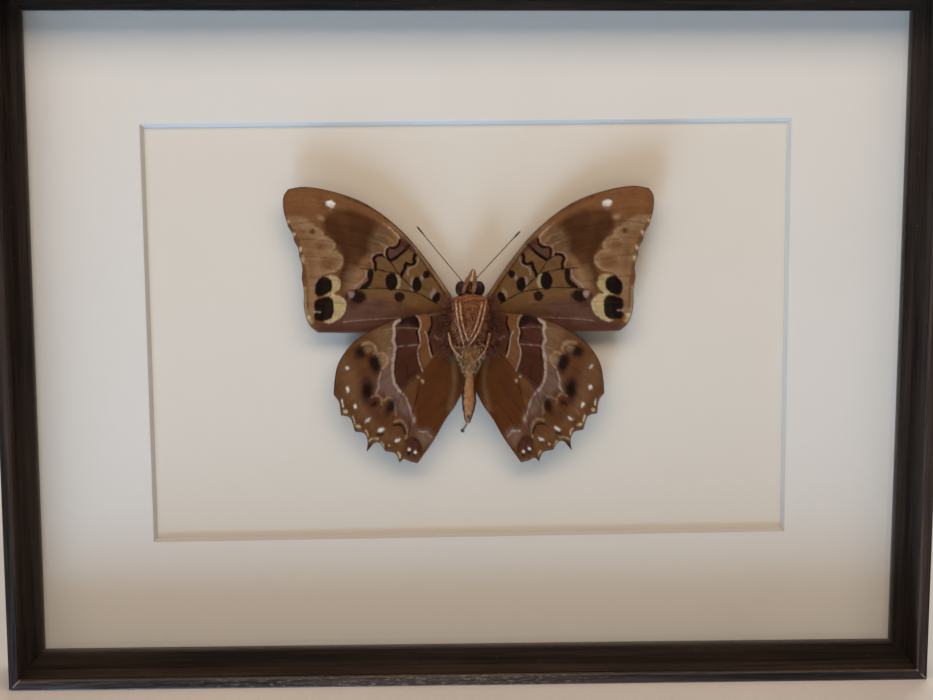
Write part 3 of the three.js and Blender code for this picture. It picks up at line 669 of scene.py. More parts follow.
# Each mark is laid over those before it: its form, its colour's name, its points in the close view, and
# then softness of its edge, its strength and, for a stroke, its width in millimetres. A spot has its
# centre, and after its strength its two radii in millimetres and its turn in degrees.
FOREWING_MARKS = [
    ("patch", "russet", [(60, 120), (330, 110), (600, 190), (900, 330), (1100, 520), (1000, 520),
     (850, 400), (640, 300), (470, 330), (330, 420), (120, 330)], 1.8, 0.85),
    ("patch", "tan", [(120, 340), (170, 420), (238, 560), (268, 720), (285, 900), (295, 1090), (340, 1100),
     (345, 950), (390, 780), (430, 762), (500, 740), (538, 688), (530, 640), (475, 602), (478, 560),
     (440, 520), (398, 490), (394, 462), (365, 440), (330, 400), (230, 340)], 0.4, 0.62),
    ("patch", "brown", [(150, 440), (240, 430), (300, 500), (330, 620), (330, 760), (300, 800), (270, 640),
     (230, 540)], 1.0, 0.5),
    ("patch", "umber", [(430, 310), (540, 290), (700, 330), (840, 430), (880, 500), (830, 560), (750, 610),
     (680, 670), (640, 740), (600, 850), (530, 890), (505, 800), (545, 690), (520, 600), (470, 540),
     (430, 480), (400, 410)], 1.1, 0.62),
    ("patch", "umber", [(600, 300), (820, 420), (900, 520), (830, 600), (700, 640), (620, 600),
     (580, 450)], 1.2, 0.45),
    ("patch", "umber", [(420, 340), (500, 370), (560, 460), (600, 620), (560, 760), (540, 850), (515, 800),
     (540, 700), (530, 610), (490, 540), (450, 490), (405, 420)], 1.1, 0.5),
    ("patch", "tan", [(780, 440), (840, 410), (960, 515), (870, 575), (800, 600), (740, 600),
     (740, 540)], 1.4, 0.3),
    ("patch", "plum", [(500, 900), (600, 950), (860, 965), (1010, 1000), (1180, 1030), (1230, 1060),
     (1080, 1100), (900, 1160), (700, 1225), (400, 1230), (300, 1180), (440, 1130), (530, 1080),
     (560, 990)], 0.9, 0.95),
    ("patch", "ochre", [(770, 700), (835, 632), (900, 660), (1000, 570), (1120, 640), (1230, 820),
     (1300, 960), (1260, 1030), (1190, 1050), (1060, 1030), (980, 985), (860, 965), (700, 945), (640, 900),
     (700, 860), (740, 800), (740, 745)], 0.45, 0.95),
    ("patch", "tan", [(600, 720), (700, 735), (745, 760), (700, 830), (650, 880), (560, 890),
     (560, 800)], 1.4, 0.35),
    ("stroke", "tan", [(770, 612), (690, 700), (610, 860)], 1.0, 0.3, 1.6),
    ("patch", "ochre", [(860, 960), (1000, 1000), (1180, 1050), (1060, 1075), (900, 1060),
     (860, 1000)], 0.9, 0.35),
    ("patch", "maroon", [(320, 1120), (480, 1140), (700, 1170), (900, 1140), (720, 1215),
     (400, 1225)], 0.8, 0.5),
    ("patch", "plum", [(930, 560), (1030, 520), (1095, 640), (1010, 600), (905, 668)], 0.5, 0.5),
    ("patch", "maroon", [(965, 495), (1040, 548), (1092, 628), (1050, 600), (1010, 592), (905, 668),
     (876, 640), (872, 598), (885, 580), (930, 578), (966, 548)], 0.22, 0.8),
    ("patch", "plum", [(890, 590), (955, 580), (985, 560), (1005, 585), (940, 640), (905, 655),
     (885, 640)], 0.35, 0.75),
    ("stroke", "tan", [(1085, 560), (1200, 700), (1300, 870), (1350, 960)], 0.35, 0.45, 1.1),
    ("stroke", "lilac", [(952, 512), (948, 538), (915, 560), (868, 566), (852, 620),
     (862, 660)], 0.16, 0.55, 0.3),
    ("stroke", "black", [(968, 500), (967, 546), (935, 577), (884, 580), (872, 622), (882, 655),
     (905, 668), (945, 645), (1012, 592)], 0.12, 0.98, 0.6),
    ("stroke", "black", [(1045, 556), (1012, 592), (945, 650), (905, 672)], 0.12, 0.98, 0.8),
    ("stroke", "maroon", [(1012, 592), (1050, 560), (1080, 600)], 0.2, 0.6, 0.35),
    ("stroke", "lilac", [(1110, 650), (1095, 700), (1050, 728), (1032, 740), (1025, 780)], 0.16, 0.5, 0.4),
    ("stroke", "black", [(1083, 632), (1073, 660), (1080, 690), (1050, 706), (1016, 696), (1003, 738),
     (985, 772), (980, 790)], 0.12, 0.99, 0.9),
    ("stroke", "lilac", [(828, 612), (780, 622), (752, 660), (764, 700), (760, 735)], 0.16, 0.5, 0.3),
    ("stroke", "black", [(835, 632), (798, 636), (774, 662), (787, 700), (784, 742)], 0.12, 0.99, 0.78),
    ("stroke", "lilac", [(715, 750), (715, 790), (685, 825), (640, 860), (628, 880)], 0.2, 0.6, 0.45),
    ("patch", "black", [(728, 742), (766, 742), (768, 800), (748, 850), (712, 884), (665, 884), (690, 852),
     (728, 818), (722, 780)], 0.14, 0.96),
    ("spot", "cream", (950, 832), 0.2, 0.4, 0.8, 2.2, 0),
    ("spot", "black", (905, 830), 0.14, 0.98, 1.6, 2.35, 0),
    ("spot", "lilac", (1060, 850), 0.2, 0.5, 0.6, 1.7, 0),
    ("spot", "black", (1095, 853), 0.14, 0.98, 1.22, 1.95, 0),
    ("spot", "lilac", (1140, 795), 0.2, 0.4, 0.5, 1.0, 30),
    ("spot", "black", (1166, 780), 0.14, 0.97, 0.92, 1.12, 30),
    ("spot", "lilac", (1220, 920), 0.25, 0.45, 0.7, 1.3, 25),
    ("spot", "black", (1243, 952), 0.14, 0.97, 0.98, 1.5, 25),
    ("spot", "black", (965, 945), 0.3, 0.93, 1.35, 1.35, 0),
    ("spot", "black", (650, 942), 0.5, 0.93, 2.3, 1.75, 0),
    ("spot", "lilac", (602, 925), 0.4, 0.75, 0.75, 0.95, 0),
    ("spot", "umber", (570, 945), 0.4, 0.8, 0.5, 0.9, 0),
    ("spot", "umber", (620, 1010), 0.9, 0.6, 1.2, 0.9, 0),
    ("patch", "straw", [(425, 785), (480, 790), (514, 830), (508, 880), (470, 915), (400, 935),
     (400, 790)], 0.25, 0.9),
    ("stroke", "cream", [(450, 782), (495, 795), (520, 838), (505, 885), (468, 918)], 0.2, 0.5, 0.3),
    ("patch", "black", [(338, 840), (385, 792), (442, 800), (464, 840), (456, 890), (420, 922), (350, 935),
     (328, 900)], 0.22, 0.99),
    ("patch", "straw", [(440, 930), (510, 940), (552, 980), (555, 1030), (530, 1075), (470, 1118),
     (400, 1130)], 0.2, 0.97),
    ("stroke", "cream", [(455, 930), (520, 944), (556, 985), (556, 1032), (530, 1080), (470, 1122),
     (430, 1132)], 0.2, 0.75, 0.42),
    ("patch", "black", [(330, 968), (380, 950), (440, 940), (466, 965), (470, 1060), (450, 1105),
     (400, 1122), (330, 1110), (320, 1070), (340, 1060), (322, 1030)], 0.2, 0.98),
    ("stroke", "lilac", [(320, 1052), (370, 1056)], 0.15, 0.7, 0.28),
    ("spot", "white", (457, 250), 0.3, 0.95, 1.15, 0.85, 20),
    ("stroke", "tan", [(470, 262), (455, 290)], 0.5, 0.4, 0.8),
    ("spot", "tan", (382, 352), 0.45, 0.9, 0.95, 0.65, 20),
    ("stroke", "tan", [(340, 430), (368, 440), (392, 462), (395, 485)], 0.4, 0.85, 0.55),
    ("spot", "umber", (318, 455), 0.5, 0.8, 0.75, 0.7, 0),
    ("stroke", "tan", [(350, 515), (400, 500), (450, 518), (478, 555), (470, 590)], 0.35, 0.9, 0.7),
    ("spot", "brown", (378, 562), 0.8, 0.8, 1.7, 1.1, 0),
    ("stroke", "tan", [(440, 605), (500, 615), (535, 660), (525, 710), (480, 745),
     (420, 755)], 0.3, 0.9, 0.8),
    ("spot", "brown", (430, 692), 0.9, 0.85, 2.1, 1.5, 0),
    ("stroke", "cream", [(248, 880), (250, 980), (262, 1070), (300, 1130)], 0.5, 0.45, 1.1),
    ("spot", "cream", (137, 380), 0.3, 0.75, 0.4, 0.5, 30),
    ("spot", "cream", (178, 478), 0.3, 0.85, 0.45, 0.75, 25),
    ("spot", "cream", (224, 585), 0.3, 0.75, 0.45, 0.7, 15),
    ("spot", "cream", (245, 660), 0.4, 0.55, 0.45, 0.9, 0),
    ("spot", "cream", (285, 1090), 0.3, 0.7, 0.5, 0.4, 30),
    ("stroke", "lilac", [(545, 1132), (640, 1122), (760, 1114), (960, 1104),
     (1010, 1095)], 0.15, 0.6, 0.26),
    ("stroke", "umber", [(560, 1140), (760, 1124), (960, 1112)], 0.2, 0.5, 0.3),
    ("stroke", "black", [(670, 733), (790, 740), (880, 757), (960, 776)], 0.1, 0.95, 0.28),
    ("stroke", "black", [(590, 898), (680, 886), (860, 882), (1060, 908), (1110, 922), (1190, 968),
     (1250, 1000)], 0.1, 0.95, 0.3),
    ("stroke", "black", [(840, 636), (905, 692), (950, 762), (1100, 918)], 0.1, 0.95, 0.32),
    ("stroke", "umber", [(500, 315), (700, 355), (850, 430), (930, 520)], 0.25, 0.45, 0.25),
    ("stroke", "umber", [(430, 405), (640, 425), (800, 470), (900, 560)], 0.25, 0.4, 0.25),
    ("stroke", "umber", [(540, 525), (700, 525), (830, 560)], 0.25, 0.4, 0.25),
    ("stroke", "tan", [(850, 395), (920, 450), (965, 510)], 0.3, 0.6, 0.35),
    ("stroke", "cream", [(880, 420), (935, 470), (968, 505)], 0.25, 0.4, 0.25),
    ("stroke", "tan", [(790, 470), (860, 490), (930, 540)], 0.4, 0.45, 0.4),
    ("stroke", "tan", [(820, 540), (880, 570)], 0.4, 0.5, 0.5),
    ("stroke", "umber", [(560, 200), (800, 310), (970, 450), (1140, 690), (1280, 890),
     (1360, 1020)], 0.2, 0.65, 0.35),
    ("stroke", "lilac", [(900, 395), (1000, 490), (1150, 680), (1290, 870), (1370, 990)], 0.25, 0.25, 0.4),
    ("stroke", "umber", [(1080, 600), (1180, 740), (1270, 880), (1330, 1010)], 0.2, 0.5, 0.3),
]

HINDWING_MARKS = [
    ("patch", "plum", [(560, 620), (660, 560), (660, 700), (720, 800), (800, 980), (840, 1080),
     (780, 1160), (660, 1000), (560, 860), (480, 840), (500, 700)], 1.2, 0.75),
    ("patch", "tan", [(560, 230), (660, 240), (650, 400), (620, 520), (540, 500), (500, 380),
     (480, 260)], 1.6, 0.3),
    ("patch", "tan", [(200, 480), (330, 600), (360, 760), (420, 960), (520, 1120), (660, 1180),
     (740, 1260), (560, 1200), (400, 1060), (250, 880), (170, 700), (160, 560)], 1.8, 0.15),
    ("patch", "maroon", [(320, 560), (420, 600), (430, 800), (520, 960), (600, 1040), (560, 1080),
     (440, 960), (340, 800)], 1.6, 0.45),
    ("patch", "lilac", [(500, 620), (560, 500), (640, 420), (640, 640), (650, 730), (700, 800), (780, 980),
     (740, 1000), (660, 900), (560, 800), (500, 760)], 0.8, 0.18),
    ("patch", "hind_fold", [(1090, 380), (1190, 480), (1250, 900), (1180, 980), (1060, 1150), (960, 1300),
     (850, 1400), (930, 1240), (860, 1120), (830, 920), (850, 720), (960, 540)], 0.5, 0.95),
    ("patch", "brown", [(865, 90), (985, 110), (975, 200), (925, 285), (950, 350), (972, 480), (890, 605),
     (862, 500), (880, 380), (872, 230), (858, 150)], 0.35, 0.85),
    ("patch", "maroon", [(978, 130), (1100, 130), (1150, 300), (1070, 400), (985, 480), (958, 400),
     (948, 330), (968, 250)], 0.4, 0.85),
    ("spot", "umber", (1060, 220), 1.2, 0.5, 2.2, 2.6, 0),
    ("stroke", "lilac", [(1000, 320), (1040, 335), (1080, 320)], 0.4, 0.35, 0.5),
    ("stroke", "black", [(970, 150), (975, 210), (948, 290), (944, 330), (962, 400),
     (978, 470)], 0.14, 0.95, 0.6),
    ("stroke", "lilac", [(915, 272), (938, 325), (944, 380), (955, 440), (972, 492)], 0.12, 0.8, 0.3),
    ("patch", "maroon", [(680, 215), (700, 175), (750, 140), (800, 130), (838, 142), (858, 185),
     (858, 300), (868, 370), (850, 430), (850, 510), (875, 590), (885, 630), (840, 650), (790, 685),
     (740, 745), (690, 775), (665, 750), (650, 690), (648, 600), (668, 500), (670, 400),
     (668, 330)], 0.16, 0.97),
    ("patch", "umber", [(665, 470), (850, 450), (872, 600), (820, 650), (760, 690), (720, 760), (690, 772),
     (660, 700)], 0.8, 0.55),
    ("patch", "black", [(685, 215), (705, 178), (752, 144), (800, 133), (838, 146), (856, 186), (856, 240),
     (800, 215), (760, 190), (720, 215)], 0.5, 0.8),
    ("stroke", "black", [(822, 140), (850, 180), (857, 240), (842, 275), (852, 320),
     (866, 372)], 0.12, 0.95, 0.5),
    ("stroke", "black", [(850, 430), (850, 500), (868, 560), (884, 628)], 0.12, 0.7, 0.22),
    ("stroke", "lilac", [(835, 122), (868, 165), (878, 230), (862, 272), (872, 320),
     (874, 372)], 0.13, 0.85, 0.3),
    ("stroke", "lilac", [(872, 385), (852, 430), (856, 500), (872, 560), (892, 618)], 0.13, 0.8, 0.3),
    ("stroke", "black", [(678, 216), (668, 240), (666, 330), (670, 400), (664, 500), (648, 600),
     (650, 690), (668, 756)], 0.14, 0.85, 0.36),
    ("stroke", "lilac", [(690, 172), (650, 205), (640, 240), (652, 280), (636, 345), (655, 400),
     (648, 450), (634, 545), (634, 640), (650, 720), (695, 790)], 0.2, 0.9, 0.75),
    ("stroke", "cream", [(668, 190), (652, 215), (655, 262)], 0.15, 0.45, 0.25),
    ("stroke", "lilac", [(690, 785), (735, 830), (775, 920), (798, 1000), (815, 1050)], 0.25, 0.75, 0.42),
    ("stroke", "black", [(752, 560), (762, 620), (768, 690)], 0.15, 0.75, 0.22),
    ("stroke", "lilac", [(560, 255), (660, 240), (760, 238), (860, 246)], 0.15, 0.4, 0.2),
    ("stroke", "lilac", [(580, 420), (660, 402), (760, 392), (862, 384)], 0.2, 0.45, 0.25),
    ("stroke", "maroon", [(660, 528), (600, 560), (548, 618), (530, 680), (480, 800)], 0.12, 0.65, 0.2),
    ("spot", "black", (358, 448), 0.9, 0.9, 1.8, 1.5, -40),
    ("stroke", "black", [(330, 400), (360, 372), (400, 362)], 0.2, 0.5, 0.25),
    ("stroke", "tan", [(372, 376), (430, 366), (478, 392), (490, 436), (470, 465)], 0.4, 0.95, 0.75),
    ("spot", "tan", (425, 420), 0.8, 0.55, 1.1, 1.0, 0),
    ("spot", "black", (478, 548), 0.9, 0.95, 1.5, 2.8, -15),
    ("stroke", "tan", [(500, 468), (545, 456), (583, 488), (582, 545), (545, 590)], 0.35, 0.9, 0.6),
    ("spot", "tan", (545, 510), 0.7, 0.6, 0.8, 1.1, 0),
    ("stroke", "lilac", [(532, 625), (512, 690), (506, 760), (478, 800)], 0.3, 0.75, 0.45),
    ("stroke", "plum", [(470, 680), (450, 760), (470, 800)], 0.6, 0.5, 1.0),
    ("spot", "black", (412, 785), 1.0, 0.97, 1.5, 2.9, 0),
    ("spot", "maroon", (460, 880), 0.8, 0.9, 1.7, 1.3, 0),
    ("spot", "black", (475, 895), 0.5, 0.85, 0.9, 0.55, -30),
    ("stroke", "tan", [(448, 838), (488, 818), (526, 845), (536, 900)], 0.3, 0.75, 0.5),
    ("stroke", "tan", [(552, 866), (598, 840), (636, 868), (656, 930), (652, 990)], 0.3, 0.8, 0.6),
    ("spot", "black", (612, 920), 0.8, 0.9, 1.1, 2.4, 25),
    ("stroke", "tan", [(648, 1050), (698, 1040), (738, 1078), (752, 1150), (745, 1200)], 0.3, 0.7, 0.55),
    ("stroke", "black", [(640, 1082), (690, 1078), (728, 1112), (745, 1160)], 0.25, 0.9, 0.6),
    ("spot", "white", (236, 581), 0.22, 0.85, 0.5, 0.27, 40),
    ("spot", "white", (240, 765), 0.25, 0.95, 0.45, 0.65, -10),
    ("stroke", "white", [(190, 862), (194, 890), (200, 915)], 0.15, 0.85, 0.3),
    ("spot", "white", (306, 917), 0.22, 0.9, 0.4, 0.62, -30),
    ("spot", "cream", (218, 960), 0.2, 0.95, 0.55, 0.38, -10),
    ("stroke", "cream", [(283, 1005), (295, 1040), (300, 1062)], 0.18, 0.85, 0.35),
    ("spot", "cream", (330, 1088), 0.2, 0.9, 0.75, 0.35, 15),
    ("spot", "white", (408, 1040), 0.25, 0.85, 0.75, 0.36, -25),
    ("spot", "maroon", (385, 1062), 0.4, 0.5, 1.1, 0.45, -15),
    ("stroke", "cream", [(392, 1120), (408, 1148), (415, 1180)], 0.18, 0.85, 0.32),
    ("stroke", "cream", [(415, 1220), (450, 1200), (500, 1200)], 0.2, 0.85, 0.36),
    ("spot", "black", (518, 1162), 0.25, 0.9, 0.9, 0.5, -10),
    ("spot", "white", (530, 1122), 0.22, 0.9, 0.85, 0.45, -30),
    ("stroke", "cream", [(530, 1235), (548, 1255), (552, 1275)], 0.18, 0.8, 0.32),
    ("spot", "cream", (596, 1260), 0.2, 0.75, 0.4, 0.28, 0),
    ("spot", "umber", (655, 1240), 0.3, 0.8, 0.7, 0.5, 0),
    ("spot", "white", (668, 1215), 0.22, 0.8, 0.65, 0.36, -25),
    ("stroke", "cream", [(672, 1320), (690, 1345), (690, 1365)], 0.2, 0.75, 0.36),
    ("spot", "lilac", (910, 1190), 1.4, 0.22, 2.2, 2.4, 0),
    ("spot", "maroon", (805, 1270), 0.7, 0.85, 2.2, 2.4, 15),
    ("stroke", "black", [(745, 1220), (790, 1195), (840, 1215), (868, 1270), (870, 1330)], 0.35, 0.7, 0.55),
    ("spot", "black", (772, 1325), 0.22, 0.9, 0.5, 0.55, 0),
    ("spot", "black", (822, 1350), 0.22, 0.9, 0.5, 0.45, 0),
    ("spot", "white", (770, 1297), 0.15, 0.95, 0.42, 0.34, 0),
    ("spot", "white", (824, 1322), 0.15, 0.9, 0.42, 0.38, 0),
    ("stroke", "white", [(862, 1140), (890, 1140), (925, 1142)], 0.2, 0.3, 0.4),
    ("stroke", "lilac", [(925, 1142), (945, 1170), (968, 1190)], 0.25, 0.5, 0.35),
    ("spot", "cream", (888, 700), 0.25, 0.55, 0.32, 0.5, -20),
    ("spot", "cream", (855, 665), 0.2, 0.6, 0.35, 0.25, 30),
    ("spot", "lilac", (806, 1030), 0.5, 0.5, 0.6, 1.1, 0),
    ("stroke", "black", [(872, 672), (858, 760), (826, 900), (792, 1020), (775, 1120),
     (760, 1180)], 0.1, 0.75, 0.2),
    ("stroke", "black", [(888, 640), (800, 690), (735, 760), (690, 860), (640, 1010)], 0.1, 0.7, 0.2),
    ("stroke", "maroon", [(640, 1010), (605, 1160), (585, 1260)], 0.12, 0.55, 0.2),
    ("stroke", "black", [(885, 630), (960, 540), (1030, 470), (1100, 390)], 0.15, 0.5, 0.22),
    ("stroke", "maroon", [(545, 870), (520, 930), (480, 1060), (450, 1160)], 0.15, 0.45, 0.2),
    ("stroke", "tan", [(380, 930), (350, 980), (325, 1010)], 0.15, 0.35, 0.2),
    ("stroke", "black", [(1118, 540), (1140, 660), (1150, 770)], 0.15, 0.75, 0.2),
    ("stroke", "maroon", [(1080, 500), (960, 700), (900, 900)], 0.8, 0.4, 1.1),
    ("stroke", "tan", [(1150, 480), (1170, 700), (1130, 950)], 1.0, 0.3, 1.2),
    ("stroke", "maroon", [(1000, 700), (960, 860), (880, 1040)], 0.7, 0.35, 0.8),
]


def on_wing(view, points):
    """Points of a close view in millimetres, outward from the body and up."""
    pixels = np.array(view["corner"]) + np.asarray(points, float) / view["enlarged"]
    return (np.array(BODY_PIXEL) - pixels) * np.array(view["pixel"])


class Coat:
    """Colours laid over each other on a wing's points, from plain shapes."""

    def __init__(self, view, points, palette, ground, seed):
        self.view = view
        self.points = points
        self.palette = palette
        self.seed = seed
        self.colour = np.tile(palette[ground], (len(points), 1))

    def lay(self, name, near, distance, soft, strength):
        ragged = 0.2 * mottle(self.points[near], 0.5, self.seed) * min(1.0, soft * 4)
        cover = strength * (1 - smoothstep(distance + ragged, -soft, soft))
        self.colour[near] += cover[:, None] * (self.palette[name] - self.colour[near])

    def within(self, shape, reach):
        low, high = shape.min(0) - reach, shape.max(0) + reach
        return np.flatnonzero(((self.points >= low) & (self.points <= high)).all(1))

    def patch(self, name, points, soft, strength):
        ring = on_wing(self.view, [*points, points[0]])
        outline = smooth_line(ring, 4 * len(points))[:-1]
        near = self.within(outline, soft * 1.5)
        self.lay(name, near, inside_distance(self.points[near], outline), soft, strength)

    def stroke(self, name, points, soft, strength, width):
        line = smooth_line(on_wing(self.view, points), 5 * len(points))
        near = self.within(line, width + soft * 1.5)
        away = line_distance(self.points[near], line)
        self.lay(name, near, away - width / 2, soft, strength)

    def spot(self, name, centre, soft, strength, across, high, turn):
        c, s = math.cos(math.radians(turn)), math.sin(math.radians(turn))
        shape = on_wing(self.view, [centre])
        near = self.within(shape, max(across, high) + soft * 1.5)
        off = self.points[near] - shape
        x = (off[:, 0] * c + off[:, 1] * s) / across
        z = (off[:, 1] * c - off[:, 0] * s) / high
        self.lay(name, near, (np.hypot(x, z) - 1) * min(across, high), soft, strength)


def line_distance(points, line):
    best = np.full(len(points), 1e9)
    for a, b in zip(line[:-1], line[1:]):
        run = b - a
        t = np.clip(((points - a) @ run) / max(run @ run, 1e-12), 0, 1)
        best = np.minimum(best, np.linalg.norm(points - a - t[:, None] * run, axis=1))
    return best


def inside_distance(points, outline):
    """Distance to a closed outline, negative inside it."""
    closed = np.vstack([outline, outline[:1]])
    away = line_distance(points, closed)
    inside = np.zeros(len(points), bool)
    for a, b in zip(closed[:-1], closed[1:]):
        crosses = (a[1] > points[:, 1]) != (b[1] > points[:, 1])
        rise = b[1] - a[1] if abs(b[1] - a[1]) > 1e-9 else 1e-9
        inside ^= crosses & (points[:, 0] < a[0] + (points[:, 1] - a[1]) * (b[0] - a[0]) / rise)
    return np.where(inside, -away, away)


def wing_palette(settings):
    names = [name for name in WingSettings.__annotations__ if name != "relief"]
    return {name: np.array(getattr(settings, name)[:3]) for name in names}


# Half widths of the dark lines along a wing's edges and veins.
MARGIN_LINE = 0.16
COSTA_LINE = 0.2
VEIN_LINE = 0.1


def paint_wing(wing, view, marks, ground, front, palette, seed):
    """Colours of every front point of a wing."""
    across, rows = front.shape[0], front.shape[1]
    flat = np.column_stack([np.abs(front[..., 0]).ravel(), front[..., 2].ravel()])
    coat = Coat(view, flat, palette, ground, seed)
    for form, name, points, soft, strength, *size in marks:
        getattr(coat, form)(name, points, soft, strength, *size)
    margin = flat.reshape(across, rows, 2)[:, -1]
    everywhere = np.arange(len(flat))
    coat.lay("black", everywhere, line_distance(flat, margin[::3]) - MARGIN_LINE, 0.1, 0.9)
    costa = flat.reshape(across, rows, 2)[0, ::4]
    coat.lay("umber", everywhere, line_distance(flat, costa) - COSTA_LINE, 0.14, 0.85)
    off_vein = vein_fields(wing, np.stack([flat[:, 0], flat[:, 1]], -1).reshape(across, rows, 2))[1]
    reach = np.tile(smoothstep(np.linspace(0, 1, rows), 0.25, 0.5), (across, 1))
    coat.lay("umber", everywhere, off_vein.ravel() - VEIN_LINE + 2 * (1 - reach.ravel()), 0.12, 0.38)
    at = np.indices((across, rows)).reshape(2, -1).T
    streak = mottle(at * np.array([1.0, 0.06]), 2.0, seed + 3)
    streak = streak + 0.6 * mottle(at * np.array([1.0, 0.1]), 1.0, seed + 4)
    tone = 1 + 0.08 * mottle(flat, 2.4, seed + 1) + 0.08 * mottle(flat, 0.5, seed + 2) + 0.11 * streak
    return np.clip(coat.colour * tone[:, None], 0, 1)


def wing_material():
    def nodes(t):
        own = t.node("ShaderNodeAttribute", attribute_name="tone").outputs["Color"]
        scales = use_group(t, wing_scales(), {"Vector": object_place(t), "Base": own, "Grain": 0.6})
        return {"Base Color": scales["Color"], "Roughness": scales["Roughness"],
                "Height": (scales["Height"], 0.25, 0.00004)}

    return shaded("Wing scales", {"Specular IOR Level": 0.05}, nodes)[0]


class BUTTERFLY_OT_wings(bpy.types.Operator):
    """Build the four wings with their veins, teeth and markings"""

    bl_idname = "butterfly.wings"
    bl_label = "Wings"

    def execute(self, context):
        settings = context.scene.butterfly_wings
        palette = wing_palette(settings)
        material = wing_material()
        kinds = (
            ("forewing", FOREWING, FOREWING_VIEW, FOREWING_MARKS, "brown"),
            ("hindwing", HINDWING, HINDWING_VIEW, HINDWING_MARKS, "hind_brown"),
        )
        for kind, wing, view, marks, ground in kinds:
            for word, side, seed in (("left", -1, 11), ("right", 1, 31)):
                front = wing_sheet(wing, side, settings.relief / MM)
                colour = paint_wing(wing, view, marks, ground, front, palette, seed)
                points, faces = sheet_body(front, SKIN_T)
                back = colour.reshape(*front.shape)[::BACK_STEP, ::BACK_STEP].reshape(-1, 3)
                name = f"{kind}_{word}"
                piece = build_mesh(f"{name}_skin", points, faces, np.vstack([colour, back]))
                outward(piece)
                piece.data.materials.append(material)
                settle(piece, kind, name)
        return {"FINISHED"}


# ---- Hair -------------------------------------------------------------------------------------------------


FULL_TURN = 6.283  # radians
SHORTEST, LONGEST = 0.55, 1.25  # of the usual size of a hair


def finished(t, geometry, material):
    """A tree's last two steps: its instances made real, with their material."""
    real = t.node("GeometryNodeRealizeInstances", {"Geometry": geometry})
    done = t.node("GeometryNodeSetMaterial", {"Geometry": real.outputs["Geometry"], "Material": material})
    return done.outputs["Geometry"]


def fur_tree():
    """A geometry tree that grows bent tapering hairs from a skin, along its own flow attribute."""
    name = "Fur"
    tree = bpy.data.node_groups.get(name)
    if tree:
        return tree
    tree = bpy.data.node_groups.new(name, "GeometryNodeTree")
    face = tree.interface
    face.new_socket("Skin", in_out="INPUT", socket_type="NodeSocketGeometry")
    for label, kind, default in (
        ("Density", "Float", 1.0), ("Length", "Float", 0.001), ("Width", "Float", 0.0001),
        ("Bend", "Float", 0.3), ("Spread", "Float", 0.3), ("Seed", "Int", 1), ("Material", "Material", None),
    ):
        socket = face.new_socket(label, in_out="INPUT", socket_type="NodeSocket" + kind)
        if default is not None:
            socket.default_value = default
    face.new_socket("Hair", in_out="OUTPUT", socket_type="NodeSocketGeometry")
    t = Tree(tree)
    given = t.node("NodeGroupInput").outputs
    result = t.node("NodeGroupOutput").inputs
    strand = hair_strand(t, given)
    scatter = t.node("GeometryNodeDistributePointsOnFaces",
                     {"Mesh": given["Skin"], "Density": given["Density"], "Seed": given["Seed"]})
    named = t.node("GeometryNodeInputNamedAttribute", {"Name": "flow"}, data_type="FLOAT_VECTOR")
    flow = named.outputs["Attribute"]
    length = t.vector("LENGTH", flow)
    stray = t.node("FunctionNodeRandomValue", {"Min": (-1.0, -1.0, -1.0), "Max": (1.0, 1.0, 1.0)},
                   data_type="FLOAT_VECTOR")
    t.put(stray.inputs["Seed"], given["Seed"])
    aim = t.vector("ADD", flow, t.scaled(stray.outputs[0], t.math("MULTIPLY", given["Spread"], length)))
    stand = t.node("FunctionNodeAlignRotationToVector", {"Vector": aim}, axis="Z").outputs["Rotation"]
    roll = t.node("FunctionNodeRandomValue", {2: 0.0, 3: FULL_TURN}, data_type="FLOAT")
    t.put(roll.inputs["Seed"], given["Seed"])
    spin = t.node("ShaderNodeCombineXYZ", {"Z": roll.outputs[1]}).outputs["Vector"]
    turned = t.node("FunctionNodeRotateRotation", {"Rotation": stand, "Rotate By": spin},
                    rotation_space="LOCAL").outputs["Rotation"]
    size = t.node("FunctionNodeRandomValue", {2: SHORTEST, 3: LONGEST}, data_type="FLOAT")
    t.put(size.inputs["Seed"], given["Seed"])
    grown = t.math("MULTIPLY", size.outputs[1], length)
    placed = t.node("GeometryNodeInstanceOnPoints",
                    {"Points": scatter.outputs["Points"], "Instance": strand, "Rotation": turned})
    scale = t.node("ShaderNodeCombineXYZ", {"X": grown, "Y": grown, "Z": grown}).outputs["Vector"]
    t.put(placed.inputs["Scale"], scale)
    t.put(result["Hair"], finished(t, placed.outputs["Instances"], given["Material"]))
    return tree


def hair_strand(t, given):
    """One bent, tapering hair of the tree's length and width, three-sided."""
    half = t.math("MULTIPLY", given["Length"], 0.5)
    bent = t.math("MULTIPLY", given["Length"], given["Bend"])
    mid = t.node("ShaderNodeCombineXYZ", {"X": t.math("MULTIPLY", bent, 0.25), "Z": half}).outputs["Vector"]
    tip = t.node("ShaderNodeCombineXYZ", {"X": bent, "Z": given["Length"]}).outputs["Vector"]
    line = t.node("GeometryNodeCurveQuadraticBezier",
                  {"Resolution": 3, "Start": (0.0, 0.0, 0.0), "Middle": mid, "End": tip}).outputs["Curve"]
    along = t.node("GeometryNodeSplineParameter").outputs["Factor"]
    thick = t.math("MULTIPLY", t.math("SUBTRACT", 1.02, along), t.math("MULTIPLY", given["Width"], 0.5))
    ring = t.node("GeometryNodeCurvePrimitiveCircle", {"Resolution": 3, "Radius": 1.0}).outputs["Curve"]
    bar = t.node("GeometryNodeCurveToMesh",
                 {"Curve": line, "Profile Curve": ring, "Scale": thick, "Fill Caps": True})
    return bar.outputs["Mesh"]


def set_inputs(modifier, values):
    """Sets a geometry tree's inputs by the names shown in its interface."""
    for item in modifier.node_group.interface.items_tree:
        if item.item_type == "SOCKET" and item.in_out == "INPUT" and item.name in values:
            modifier[item.identifier] = values[item.name]


